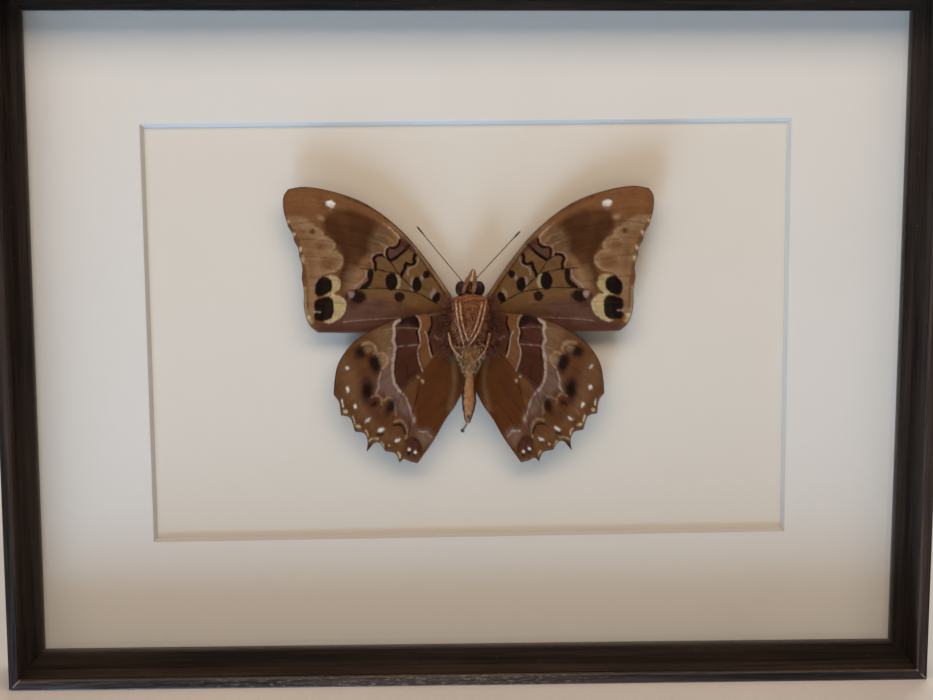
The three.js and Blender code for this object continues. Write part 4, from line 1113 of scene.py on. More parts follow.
def grow(name, skin, tree, values):
    """Runs a geometry tree on a skin and returns its result as a plain mesh object; the skin is removed."""
    modifier = skin.modifiers.new(tree.name, "NODES")
    modifier.node_group = tree
    set_inputs(modifier, values)
    bpy.context.view_layer.update()
    ready = skin.evaluated_get(bpy.context.evaluated_depsgraph_get())
    mesh = bpy.data.meshes.new_from_object(ready)
    skin.modifiers.remove(modifier)
    mesh.name = name
    if "flow" in mesh.attributes:
        mesh.attributes.remove(mesh.attributes["flow"])
    made = bpy.data.objects.new(name, mesh)
    bpy.context.scene.collection.objects.link(made)
    old = skin.data
    bpy.data.objects.remove(skin)
    bpy.data.meshes.remove(old)
    return made


def skin_with_flow(points, faces, flow):
    """A helper skin for hair: flow gives each point's hair direction, and its length beside the usual one."""
    skin = build_mesh("hair_skin", points, faces)
    outward(skin)
    layer = skin.data.attributes.new("flow", "FLOAT_VECTOR", "POINT")
    layer.data.foreach_set("vector", np.asarray(flow, np.float32).ravel())
    return skin


def hair_material(name, pale, dark):
    def nodes(t):
        place = object_place(t)
        tuft = t.noise(place, 900.0, 3.0)
        strand = t.noise(place, 5000.0, 1.0)
        both = t.math("ADD", t.math("MULTIPLY", tuft, 0.45), t.math("MULTIPLY", strand, 0.55))
        blend = t.span(both, 0.4, 0.6)
        return {"Base Color": t.mix(blend, dark, pale), "Roughness": t.span(strand, 0.3, 0.7, 0.55, 0.85)}

    return shaded(name, {"Specular IOR Level": 0.2}, nodes)[0]


# ---- Body -------------------------------------------------------------------------------------------------

# Each row of an oval body is its place up, its middle's place across, and its half width and half depth. The
# thorax gives the last two as shares of its width and depth. "height" is how far its axis is off the board.
THORAX = {"width": 4.2, "depth": 3.5, "height": 4.8}
THORAX_ROWS = [
    (7.4, 0.3, 0.3, 0.3), (6.9, 0.3, 0.66, 0.6), (6.0, 0.3, 0.94, 0.8), (4.4, 0.3, 1.04, 0.93),
    (2.2, 0.2, 1.06, 1.0), (-0.8, 0.1, 1.04, 0.98), (-3.4, 0.1, 0.97, 0.9), (-5.4, 0.1, 0.86, 0.7),
    (-6.9, 0.1, 0.5, 0.36),
]
ABDOMEN_ROWS = [
    (-5.4, 0.1, 2.9, 0.9), (-6.6, 0.1, 3.9, 1.4), (-8.6, 0.1, 3.6, 1.55), (-10.6, 0.1, 2.6, 1.55),
    (-12.8, 0.0, 1.65, 1.35), (-14.6, 0.0, 1.3, 1.25), (-17.0, -0.1, 1.6, 1.4), (-19.6, -0.2, 1.85, 1.5),
    (-22.2, -0.2, 1.75, 1.45), (-24.4, -0.3, 1.35, 1.2), (-26.0, -0.4, 0.95, 0.9), (-27.2, -0.4, 0.4, 0.4),
]
ABDOMEN_H = 6.0
EYE = {"x": 2.4, "z": 8.6, "rx": 1.5, "ry": 1.6, "rz": 2.0, "h": 5.0}


def thorax_rows():
    return [(z, x, THORAX["width"] * a, THORAX["depth"] * b) for z, x, a, b in THORAX_ROWS]


def oval_body(rows, height, sides, steps, ripple, seed, ribs=0):
    """Points and faces of stacked oval rings through the rows [z, x, half width, half depth]."""
    line = smooth_line(rows, steps)
    turn = np.linspace(0, 2 * math.pi, sides, endpoint=False)
    z, x, rx, ry = (line[:, i][:, None] for i in range(4))
    swell = 1 + ribs_wave(len(line), ribs)[:, None]
    around = np.column_stack([np.tile(turn * 2, len(line)), np.repeat(line[:, 0], sides)])
    size = swell * (1 + ripple * mottle(around, 0.9, seed).reshape(len(line), sides))
    across = x + rx * np.cos(turn) * size
    forward = -height + ry * np.sin(turn) * size
    rings = np.stack([across, forward, z + 0 * turn], axis=-1)
    ends = [[line[0, 1], -height, line[0, 0]], [line[-1, 1], -height, line[-1, 0]]]
    return np.vstack([rings.reshape(-1, 3), ends]), ring_faces(len(line), sides)


def ribs_wave(count, ribs):
    """Gentle steps between an abdomen's segments."""
    if not ribs:
        return np.zeros(count)
    place = np.linspace(0, ribs, count) % 1
    return 0.05 * np.sin(place * math.pi) ** 0.5 - 0.03


def away_from_axis(points, height):
    """Unit directions out of an upright oval body."""
    out = points - np.column_stack([np.zeros(len(points)), np.full(len(points), -height), points[:, 2]])
    return out / np.maximum(np.linalg.norm(out, axis=1), 1e-6)[:, None]


class BUTTERFLY_OT_body(bpy.types.Operator):
    """Build the thorax and the abdomen with their hair"""

    bl_idname = "butterfly.body"
    bl_label = "Thorax and Abdomen"

    def execute(self, context):
        settings = context.scene.butterfly_body
        fur = hair_material("Thorax hair", tuple(settings.fur), rgb("3c1c10"))
        pale = hair_material("Pale hair", tuple(settings.fur_pale), rgb("4a2a1a"))
        root = hair_material("Wing root hair", tuple(settings.fur_root), rgb("32180f"))
        skin_material = skin_finish("Thorax skin", rgb("a56d4f"), rgb("5a3324"))
        points, faces = oval_body(thorax_rows(), THORAX["height"], 48, 60, ripple=0.06, seed=4)
        thorax = build_mesh("thorax_skin", points, faces)
        outward(thorax)
        thorax.data.materials.append(skin_material)
        settle(thorax, "fur", "thorax")
        flow = away_from_axis(points, THORAX["height"]) * 0.45 + np.array([0, 0, -0.8])
        flow[:, 0] += np.sign(points[:, 0]) * 0.1
        density = settings.hair_density / MM**2
        usual = {"Length": settings.hair_length, "Width": settings.hair_width, "Bend": 0.25}
        hair = grow("thorax_hair", skin_with_flow(points, faces, flow), fur_tree(),
                    {**usual, "Density": density, "Spread": 0.55, "Seed": 3, "Material": fur})
        settle(hair, "fur")
        self.build_abdomen(settings, pale, usual, density)
        self.build_root_hair(root, usual, density)
        return {"FINISHED"}

    def build_abdomen(self, settings, pale, usual, density):
        points, faces = oval_body(ABDOMEN_ROWS, ABDOMEN_H, 40, 110, ripple=0.09, ribs=9, seed=8)
        side = np.abs(points[:, 0] - np.interp(-points[:, 2], [-r[0] for r in ABDOMEN_ROWS],
                                               [r[1] for r in ABDOMEN_ROWS]))
        width = np.interp(-points[:, 2], [-r[0] for r in ABDOMEN_ROWS], [r[2] for r in ABDOMEN_ROWS])
        dark = smoothstep(side / width + 0.12 * mottle(points[:, [0, 2]], 0.7, 9),
                          0.6 - 0.35 * smoothstep(points[:, 2], -13.0, -9.5), 0.82)
        tip = smoothstep(-points[:, 2], 24.6, 26.0)
        spot = np.exp(-(((points[:, 0] + 0.35) / 0.4) ** 2 + ((points[:, 2] + 25.2) / 0.5) ** 2))
        # Painted shade: the upper abdomen's skin is darkened under its hair tuft.
        shade_under_tuft = 0.45 * smoothstep(points[:, 2], -13.5, -11.5)
        shade = np.clip(dark + 0.35 * tip + spot + shade_under_tuft, 0, 1)[:, None]
        colour = np.array(settings.abdomen) * (1 - shade) + np.array(settings.abdomen_side) * shade
        abdomen = build_mesh("abdomen_skin", points, faces, colour)
        outward(abdomen)
        abdomen.data.materials.append(toned_finish("Abdomen scales"))
        settle(abdomen, "abdomen", "abdomen")
        upper = smoothstep(points[:, 2], -15.5, -12.5)
        flow = away_from_axis(points, ABDOMEN_H) * 0.4 + np.array([0, 0, -0.6])
        flow = flow * (0.25 + 0.8 * upper)[:, None]
        hair = grow("abdomen_hair", skin_with_flow(points, faces, flow), fur_tree(),
                    {**usual, "Width": 0.00024, "Density": density * 1.6, "Spread": 0.6, "Seed": 5,
                     "Material": pale})
        settle(hair, "abdomen")

    def build_root_hair(self, root, usual, density):
        """Long hair that covers the wing roots on both sides of the thorax."""
        for word, side in (("left", -1), ("right", 1)):
            grid = []
            for z in np.linspace(6.2, -9.0, 24):
                for x in np.linspace(3.0, 7.6, 12):
                    rise = 5.3 - 0.28 * (x - 3.0)
                    grid.append((side * x, -rise, z))
            across, rows = 23, 11
            points = np.array(grid)
            faces = grid_faces(across, rows, 0, side > 0)
            reach = smoothstep(8.2 - np.abs(points[:, 0]), 0.0, 2.5)
            down = np.interp(points[:, 2], [-9, 0, 6.2], [-1.0, -0.25, 0.5])
            flow = np.column_stack([np.full(len(points), side * 0.75), np.full(len(points), -0.12), down])
            flow = flow * (0.45 + 0.75 * reach)[:, None]
            name = f"root_hair_{word}"
            hair = grow(name, skin_with_flow(points, faces, flow), fur_tree(),
                        {**usual, "Length": 0.002, "Width": 0.00022, "Density": density * 0.9, "Spread": 0.4,
                         "Seed": 7 + side, "Material": root})
            settle(hair, "fur")


def skin_finish(name, light, dark):
    def nodes(t):
        place = object_place(t)
        grain = t.noise(place, 1400.0, 4.0, 0.6)
        return {"Base Color": t.mix(t.span(grain, 0.3, 0.7), dark, light),
                "Roughness": t.span(grain, 0.2, 0.8, 0.6, 0.9), "Height": (grain, 0.6, 0.0002)}

    return shaded(name, {"Specular IOR Level": 0.3}, nodes)[0]


def toned_finish(name):
    def nodes(t):
        own = t.node("ShaderNodeAttribute", attribute_name="tone").outputs["Color"]
        place = object_place(t)
        grain = t.noise(place, 2400.0, 4.0, 0.6)
        dull = t.mix(1.0, own, (0.6, 0.55, 0.5), "MULTIPLY")
        return {"Base Color": t.mix(t.span(grain, 0.35, 0.7), dull, own),
                "Roughness": t.span(grain, 0.2, 0.8, 0.6, 0.9), "Height": (grain, 0.5, 0.00012)}

    return shaded(name, {"Specular IOR Level": 0.3}, nodes)[0]


# ---- Head -------------------------------------------------------------------------------------------------

HEAD_ROWS = [(6.95, 0.3, 0.5, 0.8), (7.6, 0.2, 0.95, 1.3), (8.8, 0.1, 1.1, 1.6), (9.9, 0.1, 0.85, 1.2),
             (10.4, 0.1, 0.35, 0.5)]
# Each palp has its path and its radii along it.
PALPS = {
    "left": (
        [(-1.6, -6.0, 7.0), (-1.4, -6.7, 8.6), (-0.4, -6.6, 11.2), (1.0, -6.2, 14.0)],
        (0.4, 0.46, 0.42, 0.08),
    ),
    "right": (
        [(0.8, -6.0, 7.0), (1.25, -6.7, 8.8), (1.45, -6.6, 11.0), (1.25, -6.2, 13.7)],
        (0.4, 0.48, 0.42, 0.1),
    ),
}


class BUTTERFLY_OT_head(bpy.types.Operator):
    """Build the head with its palps, and the eyes"""

    bl_idname = "butterfly.head"
    bl_label = "Head and Eyes"

    def execute(self, context):
        settings = context.scene.butterfly_body
        usual = {"Length": settings.hair_length * 0.55, "Width": settings.hair_width * 0.9, "Bend": 0.2}
        fur = hair_material("Head hair", tuple(settings.palp), rgb("5a3220"))
        points, faces = oval_body(HEAD_ROWS, EYE["h"], 32, 30, ripple=0.05, seed=12)
        skull = build_mesh("head_skin", points, faces)
        outward(skull)
        skull.data.materials.append(skin_finish("Head skin", rgb("4a2a1c"), rgb("24120c")))
        settle(skull, "palp", "head")
        flow = away_from_axis(points, EYE["h"]) * 0.7 + np.array([0, 0, 0.7])
        density = settings.hair_density / MM**2
        hair = grow("head_hair", skin_with_flow(points, faces, flow), fur_tree(),
                    {**usual, "Density": density, "Spread": 0.3, "Seed": 21, "Material": fur})
        settle(hair, "palp")
        for index, (word, (path, radii)) in enumerate(PALPS.items()):
            self.build_palp(word, path, radii, settings, fur, usual, density, 24 + index)
        for word, side in (("left", -1), ("right", 1)):
            self.build_eye(word, side, settings)
        return {"FINISHED"}

    def build_palp(self, word, path, radii, settings, fur, usual, density, seed):
        line = smooth_line(path, 30)
        points, faces = tube(line, radii, 14)
        palp = build_mesh(f"palp_{word}", points, faces)
        outward(palp)
        palp.data.materials.append(skin_finish("Palp scales", tuple(settings.palp), rgb("6a3f2a")))
        settle(palp, "palp")
        flow = np.zeros_like(points) + np.array([0, -0.25, 0.8])
        near = line[np.argmin(np.linalg.norm(points[:, None] - line[None], axis=2), axis=1)]
        flow = flow + (points - near) * 0.8
        hair = grow(f"palp_hair_{word}", skin_with_flow(points, faces, flow), fur_tree(),
                    {**usual, "Density": density * 1.4, "Spread": 0.2, "Seed": seed, "Material": fur})
        settle(hair, "palp")

    def build_eye(self, word, side, settings):
        rows, sides = 36, 48
        points = []
        for i in range(1, rows):
            tilt = math.pi * i / rows
            for j in range(sides):
                turn = 2 * math.pi * j / sides
                out = math.sin(tilt)
                points.append((out * math.cos(turn), out * math.sin(turn), math.cos(tilt)))
        points += [(0, 0, 1), (0, 0, -1)]
        place = np.array(points) * np.array([EYE["rx"], EYE["ry"], EYE["rz"]])
        place += np.array([side * EYE["x"] + 0.2, -EYE["h"], EYE["z"]])
        eye = build_mesh(f"eye_{word}_lens", place, ring_faces(rows - 1, sides))
        outward(eye)
        eye.data.materials.append(eye_material(tuple(settings.eye)))
        settle(eye, "eye", f"eye_{word}")


def eye_material(colour):
    found = bpy.data.materials.get("Compound eye")
    if found:
        return found

    def nodes(t):
        place = object_place(t)
        facets = t.node("ShaderNodeTexVoronoi", {"Vector": place, "Scale": 9000.0}).outputs["Distance"]
        cloud = t.noise(place, 1200.0, 2.0)
        return {"Base Color": t.mix(t.span(cloud, 0.3, 0.7), colour, rgb("32140d")),
                "Roughness": t.span(cloud, 0.2, 0.8, 0.5, 0.7), "Height": (facets, 0.4, 0.00004)}

    return shaded("Compound eye", {"Specular IOR Level": 0.3}, nodes)[0]


# ---- Antennae ---------------------------------------------------------------------------------------------

ANTENNAE = {
    "left": [(-1.4, -4.2, 10.0), (-7.6, -4.9, 17.5), (-13.7, -5.4, 25.1)],
    "right": [(1.5, -4.6, 10.9), (7.4, -5.0, 17.3), (13.3, -5.4, 23.7)],
}


def antenna_tree():
    """A geometry tree that threads short rings along a path and thickens them to a club at its end."""
    name = "Ringed antenna"
    tree = bpy.data.node_groups.get(name)
    if tree:
        return tree
    tree = bpy.data.node_groups.new(name, "GeometryNodeTree")
    face = tree.interface
    face.new_socket("Path", in_out="INPUT", socket_type="NodeSocketGeometry")
    for label, kind, default in (
        ("Rings", "Int", 44), ("Radius", "Float", 0.00013), ("Club", "Float", 0.00026),
        ("Material", "Material", None),
    ):
        socket = face.new_socket(label, in_out="INPUT", socket_type="NodeSocket" + kind)
        if default is not None:
            socket.default_value = default
    face.new_socket("Antenna", in_out="OUTPUT", socket_type="NodeSocketGeometry")
    t = Tree(tree)
    given = t.node("NodeGroupInput").outputs
    result = t.node("NodeGroupOutput").inputs
    line = t.node("GeometryNodeMeshToCurve", {"Mesh": given["Path"]}).outputs["Curve"]
    count = t.math("MULTIPLY", given["Rings"], 4.0)
    even = t.node("GeometryNodeResampleCurve", {"Curve": line, "Count": count}).outputs["Curve"]
    along = t.node("GeometryNodeSplineParameter").outputs["Factor"]
    club = t.span(along, 0.82, 0.93)
    end = t.span(along, 0.965, 1.0)
    swelling = t.math("MULTIPLY", club, t.math("SUBTRACT", given["Club"], given["Radius"]))
    body = t.math("ADD", given["Radius"], swelling)
    shaped = t.math("MULTIPLY", body, t.math("SUBTRACT", 1.0, t.math("MULTIPLY", end, 0.55)))
    wave = t.math("SINE", t.math("MULTIPLY", along, t.math("MULTIPLY", given["Rings"], 6.2832)))
    ringed = t.math("MULTIPLY", shaped, t.math("ADD", 0.93, t.math("MULTIPLY", wave, 0.09)))
    ring = t.node("GeometryNodeCurvePrimitiveCircle", {"Resolution": 10, "Radius": 1.0}).outputs["Curve"]
    bar = t.node("GeometryNodeCurveToMesh",
                 {"Curve": even, "Profile Curve": ring, "Scale": ringed, "Fill Caps": True})
    t.put(result["Antenna"], finished(t, bar.outputs["Mesh"], given["Material"]))
    return tree


class BUTTERFLY_OT_antennae(bpy.types.Operator):
    """Build the two ringed antennae"""

    bl_idname = "butterfly.antennae"
    bl_label = "Antennae"

    def execute(self, context):
        settings = context.scene.butterfly_body

        def nodes(t):
            grain = t.noise(object_place(t), 3000.0, 3.0)
            return {"Base Color": t.mix(t.span(grain, 0.3, 0.7), rgb("221d19"), tuple(settings.antenna)),
                    "Roughness": t.span(grain, 0.2, 0.8, 0.4, 0.65), "Height": (grain, 0.3, 0.00003)}

        material = shaded("Antenna chitin", {"Specular IOR Level": 0.4}, nodes)[0]
        for word, path in ANTENNAE.items():
            line = smooth_line(path, 40) * MM + ORIGIN
            mesh = bpy.data.meshes.new("antenna_path")
            mesh.from_pydata(line.tolist(), [(i, i + 1) for i in range(len(line) - 1)], [])
            holder = bpy.data.objects.new("antenna_path", mesh)
            context.scene.collection.objects.link(holder)
            piece = grow(f"antenna_{word}_rings", holder, antenna_tree(), {"Rings": 44, "Material": material})
            settle(piece, "antenna", f"antenna_{word}")
        return {"FINISHED"}


# ---- Legs -------------------------------------------------------------------------------------------------

LEGS = {
    "front_left": [(-2.6, 5.4), (-1.9, -0.3), (-0.5, -4.6)],
    "front_right": [(3.4, 5.4), (1.6, -0.8), (0.3, -3.6)],
    "middle_left": [(-3.6, 5.6), (-2.9, -0.3), (-1.4, -6.5)],
    "middle_right": [(4.3, 5.6), (2.7, -1.0), (-0.4, -6.6)],
    "hind_left": [(-5.5, -2.9), (-4.5, -6.8), (-1.7, -9.8)],
    "hind_right": [(5.3, -3.2), (4.3, -7.0), (2.0, -9.9)],
}
LEG_R = 0.32  # radius of a leg
LEG_SHARES = (0.8, 1.0, 1.05, 0.75, 0.85, 0.8, 0.55, 0.5)  # of that radius, along a leg
LEG_CLEAR = 0.6  # room between a leg and the body behind it


def front_of(rows, height, x, z):
    """Height of an oval body's front at a point."""
    table = np.array(rows)[::-1]
    centre, rx, ry = (np.interp(z, table[:, 0], table[:, i]) for i in (1, 2, 3))
    return height + ry * math.sqrt(max(1 - ((x - centre) / rx) ** 2, 0))


def leg_front(x, z):
    reach = []
    for offset in (-1.5, 0, 1.5):
        across = x + offset * LEG_R
        reach.append(front_of(thorax_rows(), THORAX["height"], across, z))
        if z < THORAX_ROWS[-1][0] + 1:
            reach.append(front_of(ABDOMEN_ROWS, ABDOMEN_H, across, z))
    return max(reach)


class BUTTERFLY_OT_legs(bpy.types.Operator):
    """Build the six folded legs with their short bristles"""

    bl_idname = "butterfly.legs"
    bl_label = "Legs"

    def execute(self, context):
        settings = context.scene.butterfly_body
        skin = skin_finish("Leg chitin", tuple(settings.leg), rgb("7c4c36"))
        fur = hair_material("Leg hair", tuple(settings.leg), rgb("6a3f2a"))
        density = settings.hair_density / MM**2
        for index, (word, path) in enumerate(LEGS.items()):
            route = smooth_line(path, 40)
            lifted = np.array([(x, -(leg_front(x, z) + LEG_R + LEG_CLEAR), z) for x, z in route])
            lifted[:, 1] = np.convolve(np.pad(lifted[:, 1], 3, mode="edge"), np.ones(7) / 7, mode="valid")
            radii = [LEG_R * share for share in LEG_SHARES]
            points, faces = tube(lifted, radii, 12)
            leg = build_mesh(f"leg_{word}_skin", points, faces)
            outward(leg)
            leg.data.materials.append(skin)
            settle(leg, "leg", f"leg_{word}")
            near = lifted[np.argmin(np.linalg.norm(points[:, None] - lifted[None], axis=2), axis=1)]
            flow = (points - near) * 1.6 + np.array([0, 0, -0.45])
            hair = grow(f"leg_{word}_hair", skin_with_flow(points, faces, flow), fur_tree(),
                        {"Length": settings.hair_length * 0.4, "Width": settings.hair_width * 0.8,
                         "Bend": 0.2, "Density": density * 0.8, "Spread": 0.2, "Seed": 40 + index,
                         "Material": fur})
            settle(hair, "leg")
        return {"FINISHED"}


# ---- Frame ------------------------------------------------------------------------------------------------


def wood_material(name, settings, upright):
    def nodes(t):
        place = object_place(t)
        if upright:
            parts = t.node("ShaderNodeSeparateXYZ", {"Vector": place}).outputs
            turned = t.node("ShaderNodeCombineXYZ", {"X": parts["Z"], "Y": parts["Y"], "Z": parts["X"]})
            along = turned.outputs["Vector"]
        else:
            along = place
        grain = use_group(t, wood_grain(), {"Vector": along, "Dark": tuple(settings.wood_dark),
                                            "Light": tuple(settings.wood_light)})
        # Mask of wear at the mitres and of a painted highlight along the bottom edge.
        wear = use_group(t, rubbed_mitres_and_highlight(), {"Vector": place, "Half Width": OUTER_W / 2, "Height": OUTER_H})
        dust = use_group(t, specks(), {"Vector": place, "Spacing": 420.0, "Size": 0.07})
        worn_and_highlight = t.mix(wear["Mask"], grain["Color"], tuple(settings.wood_worn_and_highlight))
        dusty = t.mix(t.math("MULTIPLY", dust["Mask"], 0.5), worn_and_highlight, rgb("8c857c"))
        return {"Base Color": dusty, "Roughness": grain["Roughness"],
                "Height": (grain["Height"], 0.45, 0.00012)}

    return shaded(name, {"Specular IOR Level": 0.35}, nodes)[0]


class BUTTERFLY_OT_rails(bpy.types.Operator):
    """Finish the four rails in dark open-grained wood"""

    bl_idname = "butterfly.rails"
    bl_label = "Rails"

    def execute(self, context):
        settings = context.scene.butterfly_frame
        level = wood_material("Rail wood level", settings, False)
        upright = wood_material("Rail wood upright", settings, True)
        for node, material in (("rail_bottom", level), ("rail_top", level), ("rail_left", upright),
                               ("rail_right", upright)):
            dress(node, material)
        return {"FINISHED"}


LOW_REFLECTION = 0.93  # share of the pane that neither reflects nor bends light


class BUTTERFLY_OT_glass(bpy.types.Operator):
    """Finish the pane as clear low-reflection picture glass"""

    bl_idname = "butterfly.glass"
    bl_label = "Glass"

    def execute(self, context):
        def nodes(t):
            haze = t.noise(object_place(t), 30.0, 3.0)
            return {"Roughness": t.span(haze, 0.2, 0.8, 0.0, 0.02)}

        values = {"Base Color": (0.97, 0.985, 0.98), "Transmission Weight": 1.0, "IOR": 1.5,
                  "Specular IOR Level": 0.2}
        material, t, shader, output = shaded("Picture glass", values, nodes)
        path = t.node("ShaderNodeLightPath").outputs
        clear = t.node("ShaderNodeBsdfTransparent", {"Color": (0.95, 0.96, 0.955)}).outputs["BSDF"]
        unseen = t.math("MAXIMUM", path["Is Shadow Ray"], path["Is Diffuse Ray"])
        passing = t.math("MAXIMUM", unseen, LOW_REFLECTION)
        blend = t.node("ShaderNodeMixShader", {0: passing, 1: shader.outputs["BSDF"], 2: clear})
        t.put(output.inputs["Surface"], blend.outputs["Shader"])
        dress("glass", material)
        return {"FINISHED"}


FACE_LEVEL = 0.95  # a card's face points at least this much to the front or the back


def card_material(name, face, tint, fibre, core_and_shade=None):
    """Card or board paper; a core's colour shows on every face that isn't level with the front."""

    def nodes(t):
        place = object_place(t)
        paper = use_group(t, paper_fibre(), {"Vector": place, "Base": face, "Tint": tint, "Fibre": fibre})
        dust = use_group(t, specks(), {"Vector": place, "Spacing": 170.0, "Size": 0.03})
        colour = t.mix(t.math("MULTIPLY", dust["Mask"], 0.6), paper["Color"], rgb("f4f2ee"))
        # Faces that aren't level with the front, the bevel among them, take the greyer colour: painted shade.
        if core_and_shade:
            normal = t.node("ShaderNodeNewGeometry").outputs["Normal"]
            parts = t.node("ShaderNodeSeparateXYZ", {"Vector": normal}).outputs
            facing = t.math("ABSOLUTE", parts["Y"])
            colour = t.mix(t.math("LESS_THAN", facing, FACE_LEVEL), colour, core_and_shade)
        return {"Base Color": colour, "Roughness": paper["Roughness"],
                "Height": (paper["Height"], 0.25, 0.00005)}

    return shaded(name, {"Specular IOR Level": 0.2}, nodes)[0]


class BUTTERFLY_OT_boards(bpy.types.Operator):
    """Finish the bevelled mat and the pinning board"""

    bl_idname = "butterfly.boards"
    bl_label = "Mat and Board"

    def execute(self, context):
        settings = context.scene.butterfly_frame
        core_and_shade = tuple(settings.card_core_and_shade)
        dress("mat", card_material("Mat card", tuple(settings.card), rgb("cfcac2"), 0.5, core_and_shade))
        dress("backing_board", card_material("Board paper", tuple(settings.board), rgb("cdc3b4"), 0.7))
        return {"FINISHED"}


class BUTTERFLY_OT_back(bpy.types.Operator):
    """Finish the back panel, its tabs, the hanger and the pins"""

    bl_idname = "butterfly.back"
    bl_label = "Back and Fittings"

    def execute(self, context):
        settings = context.scene.butterfly_frame
        panel = tuple(settings.panel)

        def panel_nodes(t):
            place = object_place(t)
            board = use_group(t, paper_fibre(), {"Vector": place, "Base": panel, "Tint": rgb("5a4028"),
                                                 "Fibre": 1.0})
            grain = t.noise(place, 1100.0, 4.0, 0.65)
            mixed = t.mix(t.span(grain, 0.3, 0.7), rgb("63482e"), board["Color"])
            return {"Base Color": mixed, "Roughness": board["Roughness"], "Height": (grain, 0.5, 0.0002)}

        dress("back_panel", shaded("Hardboard", {"Specular IOR Level": 0.3}, panel_nodes)[0])
        steel = tuple(settings.steel)

        def steel_nodes(t):
            place = object_place(t)
            brushed = t.noise(t.vector("MULTIPLY", place, (400.0, 4000.0, 4000.0)), 1.0, 3.0)
            stain = t.noise(place, 300.0, 3.0)
            return {"Base Color": t.mix(t.span(stain, 0.5, 0.8), steel, rgb("7d7a74")),
                    "Roughness": t.span(brushed, 0.2, 0.8, 0.3, 0.5), "Height": (brushed, 0.15, 0.00004)}

        metal = shaded("Zinc-plated steel", {"Metallic": 1.0}, steel_nodes)[0]
        for node in [*(f"tab_{i}" for i in range(1, 9)), "hanger"]:
            dress(node, metal)

        def pin_nodes(t):
            tarnish = t.noise(object_place(t), 1800.0, 3.0)
            return {"Base Color": t.mix(t.span(tarnish, 0.3, 0.7), rgb("2c2a28"), rgb("5c5852")),
                    "Roughness": t.span(tarnish, 0.2, 0.8, 0.35, 0.6)}

        tarnished = shaded("Tarnished pin", {"Metallic": 0.6}, pin_nodes)[0]
        for node in ("body_pin", "tail_pin"):
            dress(node, tarnished)
        return {"FINISHED"}


# ---- Stage ------------------------------------------------------------------------------------------------

CAMERA_PLACE = (-0.0189, -0.4988, 0.1664)
CAMERA_TURN = (81.14, 0.05, -2.08)  # degrees
SENSOR = 36.0  # millimetres
NEAR_LIMIT = 0.01
FLOOR_REACH = 3.0
SKY = {"colour": (0.82, 0.9, 1.0, 1.0), "strength": 0.12}

# A light stands from BOARD_MIDDLE in the direction "from", that far "away", and faces it.
BOARD_MIDDLE = (0.0, -0.0006, 0.0928)
KEY = {"from": (0.0, -0.60, 0.80), "away": 0.7, "size": (1.5, 0.265), "colour": (1.0, 0.765, 0.605)}
COOL = {"from": (-0.33, -0.214, -0.883), "away": 0.9, "size": (0.4, 0.4), "colour": (0.49, 0.71, 1.0)}
BACK = {"from": (0.2, 0.75, 0.6), "away": 1.3, "size": (1.2, 0.8), "colour": (1.0, 0.96, 0.9)}


def add_area_light(name, light, power):
    data = bpy.data.lights.new(name, "AREA")
    data.shape = "RECTANGLE"
    data.size, data.size_y = light["size"]
    data.energy = power
    data.color = light["colour"]
    lamp = bpy.data.objects.new(name, data)
    bpy.context.scene.collection.objects.link(lamp)
    towards = Vector(light["from"]).normalized()
    lamp.location = Vector(BOARD_MIDDLE) + towards * light["away"]
    lamp.rotation_euler = towards.to_track_quat("Z", "Y").to_euler()
    return lamp


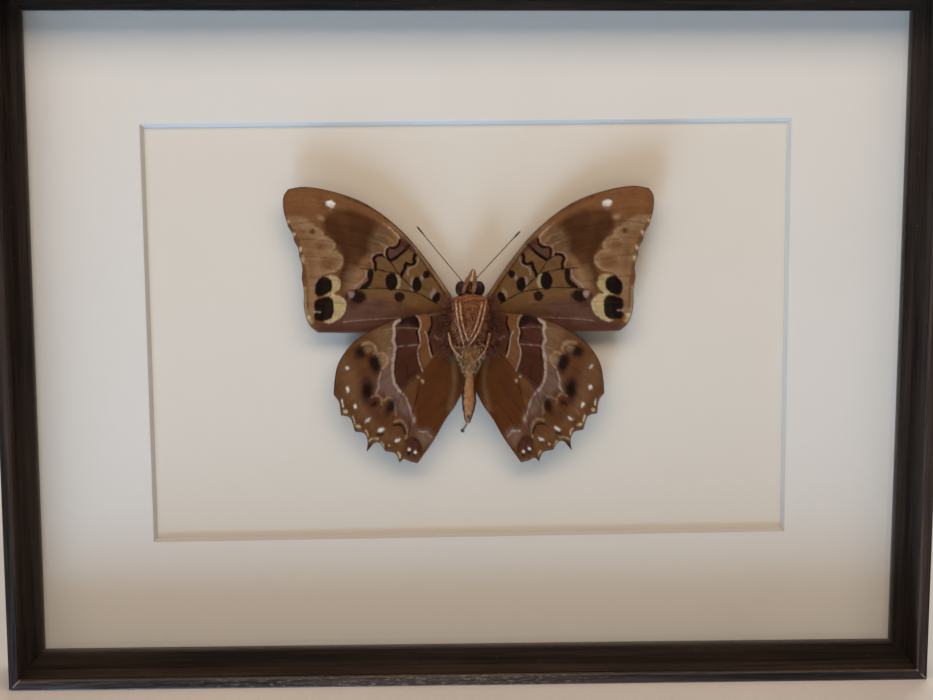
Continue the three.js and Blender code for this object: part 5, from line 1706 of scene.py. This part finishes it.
class BUTTERFLY_OT_stage(bpy.types.Operator):
    """Build the floor, the lights and the camera"""

    bl_idname = "butterfly.stage"
    bl_label = "Stage"

    def execute(self, context):
        settings = context.scene.butterfly_stage
        scene = context.scene
        r = FLOOR_REACH
        mesh = bpy.data.meshes.new("floor")
        mesh.from_pydata([(-r, -r, 0), (r, -r, 0), (r, r, 0), (-r, r, 0)], [], [(0, 1, 2, 3)])
        floor = bpy.data.objects.new("floor", mesh)
        scene.collection.objects.link(floor)
        pale = tuple(settings.floor)

        def floor_nodes(t):
            cloud = t.noise(object_place(t), 12.0, 3.0)
            return {"Base Color": t.mix(t.span(cloud, 0.3, 0.7), pale, tuple(c * 0.94 for c in pale))}

        floor.data.materials.append(shaded("Pale floor", {"Roughness": 0.8}, floor_nodes)[0])
        floor.visible_shadow = False
        floor.visible_glossy = False
        add_area_light("window light", KEY, settings.key_power)
        add_area_light("cool light", COOL, settings.cool_power)
        add_area_light("back light", BACK, settings.back_power)
        world = scene.world or bpy.data.worlds.new("Studio")
        scene.world = world
        world.use_nodes = True
        nodes = world.node_tree.nodes
        background = nodes.get("Background") or nodes.new("ShaderNodeBackground")
        background.inputs["Color"].default_value = SKY["colour"]
        background.inputs["Strength"].default_value = SKY["strength"]
        camera = bpy.data.cameras.new("camera")
        camera.lens = settings.lens
        camera.sensor_width = SENSOR
        camera.clip_start = NEAR_LIMIT
        holder = bpy.data.objects.new("camera", camera)
        scene.collection.objects.link(holder)
        holder.location = CAMERA_PLACE
        holder.rotation_euler = [math.radians(a) for a in CAMERA_TURN]
        scene.camera = holder
        scene.view_settings.view_transform = "Standard"
        return {"FINISHED"}


# ---- Panel and run ----------------------------------------------------------------------------------------

OPERATORS = (
    BUTTERFLY_OT_rails, BUTTERFLY_OT_glass, BUTTERFLY_OT_boards, BUTTERFLY_OT_back, BUTTERFLY_OT_wings,
    BUTTERFLY_OT_body, BUTTERFLY_OT_head, BUTTERFLY_OT_antennae, BUTTERFLY_OT_legs, BUTTERFLY_OT_stage,
)


class BUTTERFLY_PT_panel(bpy.types.Panel):
    """Sidebar panel with the settings and the build steps"""

    bl_idname = "BUTTERFLY_PT_panel"
    bl_label = "Framed Butterfly"
    bl_space_type = "VIEW_3D"
    bl_region_type = "UI"
    bl_category = "Butterfly"

    def draw(self, context):
        for name, group in SETTINGS.items():
            box = self.layout.box()
            for key in group.__annotations__:
                box.prop(getattr(context.scene, name), key)
        for operator in OPERATORS:
            self.layout.operator(operator.bl_idname)


CLASSES = (*SETTINGS.values(), *OPERATORS, BUTTERFLY_PT_panel)


def register():
    for item in CLASSES:
        bpy.utils.register_class(item)
    for name, group in SETTINGS.items():
        setattr(bpy.types.Scene, name, bpy.props.PointerProperty(type=group))


def unregister():
    for name in SETTINGS:
        delattr(bpy.types.Scene, name)
    for item in reversed(CLASSES):
        bpy.utils.unregister_class(item)


def main():
    register()
    for operator in OPERATORS:
        area, step = operator.bl_idname.split(".")
        getattr(getattr(bpy.ops, area), step)()


if __name__ == "__main__":
    main()
